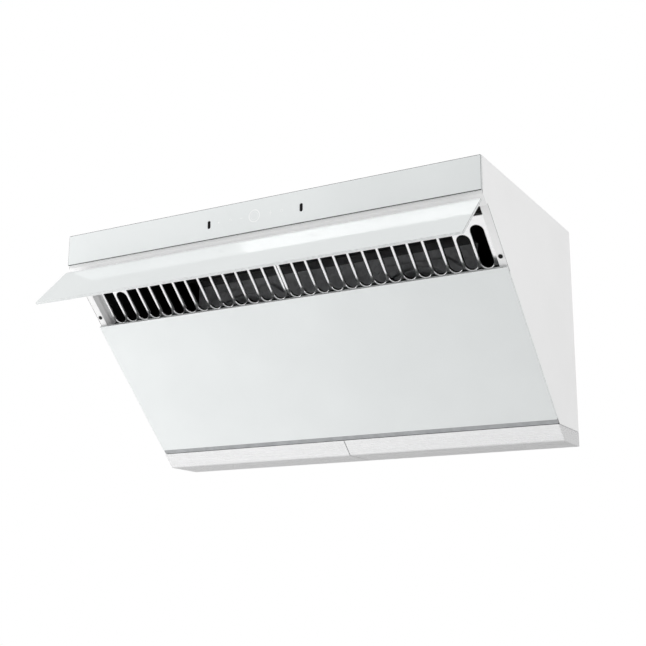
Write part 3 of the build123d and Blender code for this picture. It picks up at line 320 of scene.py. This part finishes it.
BY_SLOT = {
    "white_glass": painted_glass("white_glass"),
    "white_steel": powder_coat("white_steel"),
    "galvanised_steel": galvanised("galvanised_steel"),
    "stainless_steel": brushed("tray_steel", (0.84, 0.84, 0.845), (0.93, 0.93, 0.935), (0.20, 0.34),
                               (9, 1500, 1500)),
    "bright_steel": brushed("bright_zinc", (0.60, 0.60, 0.62), (0.74, 0.74, 0.76), (0.18, 0.30),
                            (400, 400, 400)),
    "light_channel": brushed("anodised_aluminium", (0.62, 0.62, 0.63), (0.74, 0.74, 0.75), (0.30, 0.42),
                             (20, 900, 900)),
    "grey_trim": moulded("grey_trim", (0.33, 0.34, 0.35), (0.40, 0.41, 0.42), (0.32, 0.45)),
    "black_rubber": moulded("black_rubber", (0.004, 0.004, 0.004), (0.010, 0.010, 0.010), (0.50, 0.66),
                            IOR=1.25),
    "foam_tape": moulded("foam_tape", (0.16, 0.16, 0.16), (0.22, 0.22, 0.22), (0.75, 0.9), 700.0, 0.6),
    "black_plastic": moulded("black_plastic", (0.018, 0.018, 0.018), (0.032, 0.032, 0.032), (0.38, 0.52)),
    "black_gloss": moulded("black_gloss", (0.002, 0.002, 0.003), (0.005, 0.005, 0.006), (0.05, 0.10),
                           strength=0.0, IOR=1.3),
    # black steel is coloured near black as painted shade for the recess above the grille
    "black_steel": moulded("black_steel", (0.012, 0.012, 0.012), (0.024, 0.024, 0.024), (0.30, 0.42),
                           500.0, 0.15),
    "motor_case": moulded("motor_enamel", (0.020, 0.020, 0.022), (0.040, 0.040, 0.043), (0.28, 0.40),
                          500.0, 0.3),
    "frosted_cover": moulded("frosted_cover", (0.78, 0.78, 0.76), (0.84, 0.84, 0.82), (0.42, 0.55),
                             1500.0, 0.3, Subsurface_Weight=0.2, Subsurface_Scale=0.002),
    "circuit_board": circuit(),
}
# the control and main glass carry up to 7 per cent of painted shade towards the right end
FRONT_GLASS = painted_glass("white_front_glass", 0.07)
# the near black and grey edges are painted shade lines, standing for the shadow gaps round the glass panels
SHADE_LINE_EDGE = glass_edge("shade_line_glass_edge", (0.010, 0.010, 0.010), (0.022, 0.022, 0.022), 1.2)
SOFT_SHADE_LINE_EDGE = glass_edge("soft_shade_line_glass_edge", (0.22, 0.20, 0.20), (0.30, 0.28, 0.28))
PALE_EDGE = glass_edge("pale_glass_edge", (0.66, 0.68, 0.68), (0.74, 0.76, 0.76))
PRINT = moulded("white_print", (0.86, 0.87, 0.87), (0.92, 0.93, 0.93), (0.30, 0.40))
GRILLE_STEEL = brushed("grille_steel", (0.88, 0.88, 0.885), (0.95, 0.95, 0.955), (0.12, 0.22),
                       (12, 900, 900), SLANT_TURN, 0.08)
# shell steel and back zinc carry painted shade on their inner faces
SHELL_STEEL = shade_inside(powder_coat("white_shell_steel"))
BACK_ZINC = shade_inside(galvanised("galvanised_back"))
SHELL = {
    "side_panel_left": SHELL_STEEL,
    "side_panel_right": SHELL_STEEL,
    "top_panel": SHELL_STEEL,
    "front_panel": SHELL_STEEL,
    # painted light: the header has the shell's white paint made lighter, standing for more light falling on
    # it
    "header_panel": powder_coat("lightened_header_paint", 0.95, 0.97),
    "back_panel": BACK_ZINC,
    # the ledge behind the grille takes the painted inner shade too
    "grille_ledge": BACK_ZINC,
}
SLOT_OF = {part["node"]: part["material_slot"] for part in frame["record"]["subparts"]}


# ---- CAD nodes ----

FOLDS = {                   # radius of the folded edges, in millimetres
    "side_panel_left": 0.3, "side_panel_right": 0.3, "header_panel": 0.3, "front_panel": 0.2,
    "vent_flange_left": 0.3, "vent_flange_right": 0.3, "top_panel": 0.3, "back_panel": 0.3,
    "bottom_panel": 0.3, "glass_trim": 0.4, "control_box": 0.4, "control_box_cover": 0.4,
}
SAME_POINT = 0.005 * MM
SHARP = math.radians(40)


def weighted(piece, keep_sharp=True):
    """Normals weighted by area, so that flat faces stay flat beside rounded edges."""
    normals = piece.modifiers.new("normals", "WEIGHTED_NORMAL")
    normals.keep_sharp = keep_sharp


def soften(piece, width):
    """Small rounded edges on a CAD node."""
    weld = piece.modifiers.new("weld", "WELD")
    weld.merge_threshold = SAME_POINT
    bevel = piece.modifiers.new("bevel", "BEVEL")
    bevel.width = width
    bevel.segments = 2
    bevel.limit_method = "ANGLE"
    bevel.angle_limit = SHARP
    bevel.use_clamp_overlap = True
    weighted(piece, keep_sharp=False)


def dress_cad_nodes():
    """Every CAD node gets its slot's material; folded steel gets softened edges."""
    for name, node in NODES.items():
        node.data.materials.clear()
        node.data.materials.append(SHELL.get(name, BY_SLOT[SLOT_OF[name]]))
        if name in FOLDS:
            soften(node, FOLDS[name] * MM)


# ---- Helpers for meshes ----

def plane_matrix(origin, up, out):
    """Local x stays along the width, local y is up, local z is out of the plane."""
    across = up.cross(out)
    rows = Matrix((across, up, out)).transposed().to_4x4()
    return Matrix.Translation(origin) @ rows


def slant_matrix(s, d=0.0):
    return plane_matrix(SLANT_START + DOWN * s - OUT * d, -DOWN, OUT)


def flap_matrix(s):
    """Place on the open flap that is at s on the slant when the flap is closed."""
    quarter = Matrix.Translation(PIVOT) @ Matrix.Rotation(-math.pi / 2, 4, "X") @ Matrix.Translation(-PIVOT)
    return quarter @ slant_matrix(s)


def finished(name, bm, materials, matrix=None, smooth=True):
    """Turns a bmesh into a named object at the origin."""
    bmesh.ops.recalc_face_normals(bm, faces=bm.faces)
    mesh = bpy.data.meshes.new(name)
    bm.to_mesh(mesh)
    bm.free()
    if matrix is not None:
        mesh.transform(matrix)
    for mat in materials:
        mesh.materials.append(mat)
    mesh.polygons.foreach_set("use_smooth", [smooth] * len(mesh.polygons))
    piece = bpy.data.objects.new(name, mesh)
    bpy.context.scene.collection.objects.link(piece)
    return piece


def place_on(piece, body, slot, *replaced):
    """A piece rides on a body and stands for any CAD nodes named, which are hidden; the slot is not used.
    """
    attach(piece, body)
    if replaced:
        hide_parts(*replaced)


def arc(centre, radius, start, sweep, steps):
    """Points along an arc, both ends included, with its angles in degrees."""
    angles = [math.radians(start + sweep * k / steps) for k in range(steps + 1)]
    return [(centre[0] + radius * math.cos(a), centre[1] + radius * math.sin(a)) for a in angles]


def circle(centre, radius, steps=48):
    angles = [math.tau * k / steps for k in range(steps)]
    return [(centre[0] + radius * math.cos(a), centre[1] + radius * math.sin(a)) for a in angles]


def rounded_rectangle(wide, tall, radius, steps=6, centre=(0.0, 0.0)):
    """Points round a rectangle with quarter circle corners."""
    points = []
    for turn, (sx, sy) in enumerate(((1, 1), (-1, 1), (-1, -1), (1, -1))):
        corner = (centre[0] + sx * (wide / 2 - radius), centre[1] + sy * (tall / 2 - radius))
        points += arc(corner, radius, 90 * turn, 90, steps)
    return points


def stadium(centre, wide, tall, steps=12):
    """Points round an upright stadium."""
    radius = wide / 2
    straight = tall / 2 - radius
    top = arc((centre[0], centre[1] + straight), radius, 0, 180, steps)
    return top + arc((centre[0], centre[1] - straight), radius, 180, 180, steps)


def ring_of(bm, points, z=0.0):
    return [bm.verts.new((x, y, z)) for x, y in points]


def close_ring(bm, ring):
    pairs = [(ring[k], ring[(k + 1) % len(ring)]) for k in range(len(ring))]
    return [bm.edges.get(pair) or bm.edges.new(pair) for pair in pairs]


def skin(bm, ring_a, ring_b):
    """Quads between two rings of the same length."""
    faces = []
    for k in range(len(ring_a)):
        after = (k + 1) % len(ring_a)
        faces.append(bm.faces.new((ring_a[k], ring_a[after], ring_b[after], ring_b[k])))
    return faces


def lathe(bm, profile, matrix, steps=32):
    """Turns (radius, height) points about the local z axis; ends on the axis are closed."""
    rings = []
    for radius, height in profile:
        points = circle((0, 0), radius, steps if radius > 0 else 1)
        rings.append([bm.verts.new(matrix @ Vector((x, y, height))) for x, y in points])
    for ring_a, ring_b in zip(rings, rings[1:]):
        for k in range(steps):
            after = (k + 1) % steps
            corners = [ring_a[k % len(ring_a)], ring_a[after % len(ring_a)],
                       ring_b[after % len(ring_b)], ring_b[k % len(ring_b)]]
            bm.faces.new(list(dict.fromkeys(corners)))


def edge_profile(thick, bevel, steps=3):
    """(inset, depth, zone) from the face over a rounded edge to the back."""
    turns = [math.pi / 2 * k / steps for k in range(steps + 1)]
    front = [(bevel * (1 - math.sin(a)), bevel * (1 - math.cos(a)), "front") for a in turns]
    back = [(inset, thick - depth, "back") for inset, depth, _ in reversed(front)]
    return front + [(*back[0][:2], "side")] + back[1:]


def slab(name, outline, thick, bevel, materials, matrix, choose=None, holes=()):
    """Flat panel with rounded edges. outline(inset) gives its points and choose(zone, normal)
    the material of each part of the edge; the faces take the first one."""
    bm = bmesh.new()
    rims = {"front": [], "back": []}
    for shape in (outline, *holes):
        previous = None
        for inset, depth, zone in edge_profile(thick, bevel):
            ring = ring_of(bm, shape(inset), -depth)
            if previous is None:
                rims["front"] += close_ring(bm, ring)
                previous = ring
                continue
            for face in skin(bm, previous, ring):
                face.normal_update()
                outwards = face.normal if face.normal.dot(face.calc_center_median()) > 0 else -face.normal
                face.material_index = choose(zone, outwards) if choose and shape is outline else 0
            previous = ring
        rims["back"] += close_ring(bm, previous)
    for edges in rims.values():
        bmesh.ops.triangle_fill(bm, edges=edges, use_beauty=True)
    piece = finished(name, bm, materials, matrix)
    weighted(piece, keep_sharp=False)
    return piece


# ---- Glass panels ----

CORNER = 1.5 * MM
CONTROL_BEVEL = 0.9 * MM
MAIN_BEVEL = 0.6 * MM
FLAP_BEVEL = 0.5 * MM
WINDOW_BEVEL = 0.3 * MM
WINDOW_WIDE = 4.9 * MM
WINDOW_SLIP = 0.15 * MM     # a window's hole is this much wider and taller than the window
# the second edge material is a painted shade line along an arris
PALE, SHADE_LINE = 1, 2           # edge materials, by their place in a panel's list
ENDWARD = 0.5               # a normal with more of this across points to a panel's end


def corner_box(wide, tall, radius):
    """Outline of a panel, as a function of how far it is drawn in."""
    return lambda inset: rounded_rectangle(wide - 2 * inset, tall - 2 * inset, radius - inset)


def window_outline(centre, tall):
    """Outline of a sensor window, as a function of how far it is drawn in."""
    return lambda inset: stadium(centre, WINDOW_WIDE - 2 * inset, tall - 2 * inset)


def window_hole(centre, tall):
    """Outline of the hole round a window, which opens out over the panel's rounded edges."""
    wide, tall = WINDOW_WIDE + WINDOW_SLIP, tall + WINDOW_SLIP
    return lambda inset: stadium(centre, wide + 2 * inset, tall + 2 * inset)


def shade_line_rim(zone, normal):
    """Painted shade line: a dark arris round the face, but behind the glass at its right end."""
    right = normal.x > ENDWARD
    if zone == "front":
        return PALE if right else SHADE_LINE
    return SHADE_LINE if zone == "back" and right else PALE


def top_shade_line_rim(zone, normal):
    """Pale ground edge with a painted shade line on the arris along the top."""
    return SHADE_LINE if zone == "front" and normal.y > ENDWARD else PALE


def end_shade_line_rims(zone, normal):
    """Pale ground edge with a painted shade line on the arrises at both ends."""
    return SHADE_LINE if zone != "side" and abs(normal.x) > ENDWARD else PALE


def control_panel():
    """Upright glass with its two sensor windows."""
    height = TOP_Z - control_low.z
    middle_z = (TOP_Z + control_low.z) / 2
    middle = plane_matrix(Vector((0, FACE_Y, middle_z)), UP, FRONT)
    window_low, window_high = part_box("sensor_windows")
    window_z = (window_low.z + window_high.z) / 2 - middle_z
    window_tall = window_high.z - window_low.z
    window_x = window_high.x - WINDOW_WIDE / 2
    places = {"left": (-window_x, window_z), "right": (window_x, window_z)}
    glass = slab("control_panel_glass", corner_box(2 * HALF_WIDTH, height, CORNER), GLASS, CONTROL_BEVEL,
                 [FRONT_GLASS, PALE_EDGE, SHADE_LINE_EDGE], middle, shade_line_rim,
                 [window_hole(place, window_tall) for place in places.values()])
    place_on(glass, "hood_body", "white_glass", "control_glass")
    for side, place in places.items():
        window = slab(f"sensor_window_{side}", window_outline(place, window_tall), GLASS, WINDOW_BEVEL,
                      [BY_SLOT["black_gloss"]], middle)
        replaced = ["sensor_windows"] if side == "left" else []
        place_on(window, "hood_body", "black_gloss", *replaced)


def slanted_glass():
    top, end = spread("main_glass", slant_s)
    glass = slab("main_front_glass", corner_box(2 * HALF_WIDTH, end - top, CORNER), GLASS, MAIN_BEVEL,
                 [FRONT_GLASS, PALE_EDGE, SHADE_LINE_EDGE], slant_matrix((top + end) / 2), top_shade_line_rim)
    place_on(glass, "hood_body", "white_glass", "main_glass")


def closed_s(point):
    """Distance down the slant of a point of the open flap once the flap is closed."""
    shut = PIVOT + Matrix.Rotation(math.pi / 2, 3, "X") @ (Vector(point) - PIVOT)
    return slant_s(shut)


def flap_panel():
    top, end = spread("flap_glass", closed_s)
    glass = slab("flap_front_glass", corner_box(2 * HALF_WIDTH, end - top, CORNER), GLASS, FLAP_BEVEL,
                 [BY_SLOT["white_glass"], PALE_EDGE, SOFT_SHADE_LINE_EDGE], flap_matrix((top + end) / 2), end_shade_line_rims)
    place_on(glass, "vent_flap", "white_glass", "flap_glass")


# ---- Marks printed on the control glass ----

MARKS_Z = 153 * MM
PAINT = 0.08 * MM           # thickness of the print
PAINT_GAP = 0.01 * MM       # from the glass to the back of the print
STROKE = 0.9 * MM
RING_X = 0.6 * MM
PLUS_X, MINUS_X = 30 * MM, -23 * MM
BAR = 5 * MM                # length of the minus, and of the plus across
STUB, STUB_AWAY = 3 * MM, 2.5 * MM          # the plus's upright halves: length, and middle from the bar
RIGHT_CIRCLE_X, RIGHT_CIRCLE = 50 * MM, 2.6 * MM
LEFT_CIRCLE_X, LEFT_CIRCLE = -44 * MM, 2.8 * MM
LEFT_DOT = 0.8 * MM         # inside the left circle
FAR_DOT_X, FAR_DOT = -66 * MM, 1.5 * MM


def band(bm, x, outer, inner, steps=48):
    """Flat ring about x."""
    outside, inside = circle((x, 0), outer, steps), circle((x, 0), inner, steps)
    rings = [ring_of(bm, outside, PAINT), ring_of(bm, outside)]
    rings += [ring_of(bm, inside), ring_of(bm, inside, PAINT)]
    for ring_a, ring_b in zip(rings, rings[1:] + rings[:1]):
        skin(bm, ring_a, ring_b)


def patch(bm, points):
    """Filled outline."""
    top, low = ring_of(bm, points, PAINT), ring_of(bm, points)
    skin(bm, top, low)
    bm.faces.new(top)
    bm.faces.new(low)


def bar(bm, x, y, wide, tall):
    corners = ((1, 1), (-1, 1), (-1, -1), (1, -1))
    patch(bm, [(x + sx * wide / 2, y + sy * tall / 2) for sx, sy in corners])


def touch_marks():
    """Ring and small plain marks, as thick as paint."""
    bm = bmesh.new()
    band(bm, RING_X, 10.4 * MM, 8.6 * MM, 64)
    band(bm, RING_X, 6.6 * MM, 6.1 * MM)
    bar(bm, PLUS_X, 0, BAR, STROKE)
    bar(bm, MINUS_X, 0, BAR, STROKE)
    bar(bm, PLUS_X, STUB_AWAY, STROKE, STUB)
    bar(bm, PLUS_X, -STUB_AWAY, STROKE, STUB)
    band(bm, RIGHT_CIRCLE_X, RIGHT_CIRCLE, RIGHT_CIRCLE - STROKE)
    band(bm, LEFT_CIRCLE_X, LEFT_CIRCLE, LEFT_CIRCLE - STROKE)
    patch(bm, circle((FAR_DOT_X, 0), FAR_DOT, 24))
    patch(bm, circle((LEFT_CIRCLE_X, 0), LEFT_DOT, 24))
    middle = plane_matrix(Vector((0, FACE_Y - PAINT_GAP, MARKS_Z)), UP, FRONT)
    marks = finished("touch_marks", bm, [PRINT], middle, smooth=False)
    place_on(marks, "hood_body", "white_glass")


# ---- Grille ----

SLOTS = 14                  # in each half
SLOT_PITCH = 25.0 * MM
SLOT_FIRST = 15.2 * MM      # from the middle of the hood to the first slot's middle
SLOT_WIDE = 20.0 * MM
SLOT_TOP = 61.0 * MM        # slots start and end at these places down the slant
SLOT_END = 131.4 * MM
SHORT_SLOT = 12             # the slot, counted from 0, that starts lower than the others
SHORT_TOP = 73.5 * MM
ROLL = 2.3 * MM             # radius over which each slot's edge rolls in
COLLAR = 2.6 * MM           # straight collar behind the roll
EDGE_ROLL = 1.6 * MM        # radius over which the outer edge rolls in
EDGE_SHORT = 0.1 * MM       # the outer edge stops this far before the CAD grille's back
GRILLE_CORNER = 1.2 * MM
SHEET = 0.8 * MM


def roll_profile(radius, collar, steps=5):
    """(offset from the final edge, depth) from the flat face over the roll."""
    turns = [math.pi / 2 * k / steps for k in range(steps + 1)]
    curve = [(radius * (1 - math.sin(a)), radius * (1 - math.cos(a))) for a in turns]
    return curve + [(0.0, radius + collar)]


def rolled_edge(bm, outline, profile):
    """Skins an edge that rolls inwards, and gives its rim on the flat face."""
    rings = [ring_of(bm, outline(offset), -depth) for offset, depth in profile]
    rim = close_ring(bm, rings[0])
    for ring_a, ring_b in zip(rings, rings[1:]):
        skin(bm, ring_a, ring_b)
    return rim


def grille_half(side, sign):
    """One pressed half of the grille: every slot and the outer edge roll inwards."""
    node = f"grille_{side}"
    low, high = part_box(node)
    top, end = spread(node, slant_s)
    face_d, back_d = spread(node, slant_d)
    middle_s = (top + end) / 2
    middle_x = (low.x + high.x) / 2
    wide, tall = high.x - low.x, end - top

    def outer(offset):
        radius = GRILLE_CORNER + EDGE_ROLL - offset
        return rounded_rectangle(wide - 2 * offset, tall - 2 * offset, radius, 4, (middle_x, 0))

    bm = bmesh.new()
    rims = rolled_edge(bm, outer, roll_profile(EDGE_ROLL, back_d - face_d - EDGE_ROLL - EDGE_SHORT))
    for k in range(SLOTS):
        start = SHORT_TOP if k == SHORT_SLOT else SLOT_TOP
        centre = (sign * (SLOT_FIRST + SLOT_PITCH * k), middle_s - (start + SLOT_END) / 2)

        def slot(offset):
            return stadium(centre, SLOT_WIDE + 2 * offset, SLOT_END - start + 2 * offset)

        rims += rolled_edge(bm, slot, roll_profile(ROLL, COLLAR))
    bmesh.ops.triangle_fill(bm, edges=rims, use_beauty=True)
    bmesh.ops.remove_doubles(bm, verts=bm.verts, dist=0.001 * MM)
    piece = finished(f"grille_panel_{side}", bm, [GRILLE_STEEL], slant_matrix(middle_s, face_d))
    solid = piece.modifiers.new("sheet", "SOLIDIFY")
    solid.thickness = SHEET
    solid.offset = -1.0
    weighted(piece)
    place_on(piece, "hood_body", "stainless_steel", node)


# ---- Bumpers ----

DOME_ROUND = 1.4 * MM       # radius of a bumper's shoulder, and of the dimple in its top
DIMPLE_DEEP = 0.5 * MM
DIMPLE_FLAT = 0.9 * MM      # radius of the dimple's floor, which rises a little to it
FLOOR_RISE = 0.05 * MM


def bumpers():
    """Soft domes with a dimple, on the flanges at both sides."""
    low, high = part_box("flap_bumpers")
    start, end = spread("flap_bumpers", slant_s)
    radius = (end - start) / 2
    face = spread("flap_bumpers", slant_d)[0]
    seat = spread("vent_flange_right", slant_d)[0]
    tall = seat - face
    dimple = [(0, tall - DIMPLE_DEEP), (DIMPLE_FLAT, tall - DIMPLE_DEEP + FLOOR_RISE), (DOME_ROUND, tall)]
    shoulder = arc((radius - DOME_ROUND, tall - DOME_ROUND), DOME_ROUND, 90, -90, 6)
    profile = dimple + shoulder + [(radius, 0.0), (0, 0.0)]
    bm = bmesh.new()
    for x in (low.x + radius, high.x - radius):
        lathe(bm, profile, Matrix.Translation((x, 0, 0)) @ slant_matrix((start + end) / 2, seat))
    piece = finished("flap_bumper_domes", bm, [BY_SLOT["black_rubber"]])
    weighted(piece)
    place_on(piece, "hood_body", "black_rubber", "flap_bumpers")


# ---- Stage ----

SURROUND = 0.655            # strength of the surroundings as a light


def floor():
    size, corner, height = 9.0, 0.5, -1.05
    bm = bmesh.new()
    bm.faces.new(ring_of(bm, rounded_rectangle(size, size, corner, 8)))
    mat = moulded("floor", (0.93, 0.93, 0.93), (0.95, 0.95, 0.95), (0.55, 0.7), 60.0, 0.02)
    plane = finished("floor", bm, [mat], Matrix.Translation((0, 0, height)), smooth=False)


def world():
    """White surroundings; reflections find them darker overhead and behind the foot of the hood."""
    made = bpy.data.worlds.new("studio")
    bpy.context.scene.world = made
    made.use_nodes = True
    tree = made.node_tree

    def node(kind, **settings):
        one = tree.nodes.new(kind)
        for key, value in settings.items():
            setattr(one, key, value)
        return one

    def fade(source, begin, end, first, last):
        one = node("ShaderNodeMapRange", interpolation_type="SMOOTHSTEP")
        values = {"From Min": begin, "From Max": end, "To Min": first, "To Max": last}
        for key, value in values.items():
            one.inputs[key].default_value = value
        tree.links.new(source, one.inputs["Value"])
        return one.outputs["Result"]

    def combine(operation, a, b):
        one = node("ShaderNodeMath", operation=operation)
        for socket, value in zip(one.inputs, (a, b)):
            if isinstance(value, float):
                socket.default_value = value
            else:
                tree.links.new(value, socket)
        return one.outputs[0]

    path = node("ShaderNodeLightPath")
    coords = node("ShaderNodeTexCoord")
    axes = node("ShaderNodeSeparateXYZ")
    tree.links.new(coords.outputs["Generated"], axes.inputs["Vector"])
    overhead = fade(axes.outputs["Z"], begin=0.45, end=0.90, first=0.0, last=0.80)
    rearward = fade(axes.outputs["Y"], begin=0.60, end=0.98, first=0.0, last=0.55)
    low_down = fade(axes.outputs["Z"], begin=-0.08, end=0.06, first=1.0, last=0.0)
    darker = combine("ADD", overhead, combine("MULTIPLY", rearward, low_down))
    shade = combine("MULTIPLY", darker, path.outputs["Is Glossy Ray"])
    light = combine("MULTIPLY", combine("SUBTRACT", 1.0, shade), SURROUND)
    seen = combine("MAXIMUM", light, path.outputs["Is Camera Ray"])
    background = tree.nodes["Background"]
    background.inputs["Color"].default_value = (1, 1, 1, 1)
    tree.links.new(seen, background.inputs["Strength"])


def softbox(name, place, aim, size, power):
    """Rectangular lamp, with its places and size in metres and its power in watts."""
    data = bpy.data.lights.new(name, "AREA")
    data.shape = "RECTANGLE"
    data.size, data.size_y = size
    data.energy = power
    lamp = bpy.data.objects.new(name, data)
    lamp.location = place
    lamp.rotation_mode = "QUATERNION"
    lamp.rotation_quaternion = (Vector(aim) - Vector(place)).to_track_quat("-Z", "Y")
    bpy.context.scene.collection.objects.link(lamp)


def lights():
    softbox("left", place=(-1.3, -1.0, -0.5), aim=(-0.25, -0.25, 0), size=(0.9, 0.9), power=7.4)
    softbox("right", place=(2.0, -0.5, 0.4), aim=(0.375, -0.25, 0), size=(1.0, 1.0), power=7.9)
    softbox("top", place=(-0.4, -1.2, 1.9), aim=(-0.1, -0.42, 0.1), size=(1.6, 1.0), power=18.7)


def camera():
    """Seen from the right, a little below the hood and looking up."""
    place = Vector((0.9321, -1.7928, -0.4418))
    yaw, pitch, roll = math.radians(-29.88), math.radians(14.17), math.radians(0.34)
    ahead = Vector((math.sin(yaw) * math.cos(pitch), math.cos(yaw) * math.cos(pitch), math.sin(pitch)))
    right = Vector((math.cos(yaw), -math.sin(yaw), 0))
    up = right.cross(ahead)
    right_rolled = right * math.cos(roll) + up * math.sin(roll)
    up_rolled = up * math.cos(roll) - right * math.sin(roll)
    data = bpy.data.cameras.new("camera")
    data.lens = 64.33
    data.sensor_width = 36.0
    lens = bpy.data.objects.new("camera", data)
    turned = Matrix((right_rolled, up_rolled, -ahead)).transposed().to_4x4()
    lens.matrix_world = Matrix.Translation(place) @ turned
    bpy.context.scene.collection.objects.link(lens)
    bpy.context.scene.camera = lens


camera()
world()
lights()
floor()
dress_cad_nodes()
control_panel()
touch_marks()
slanted_glass()
flap_panel()
grille_half("left", -1)
grille_half("right", 1)
bumpers()
bpy.context.scene.view_settings.view_transform = "Standard"

bpy.context.view_layer.update()
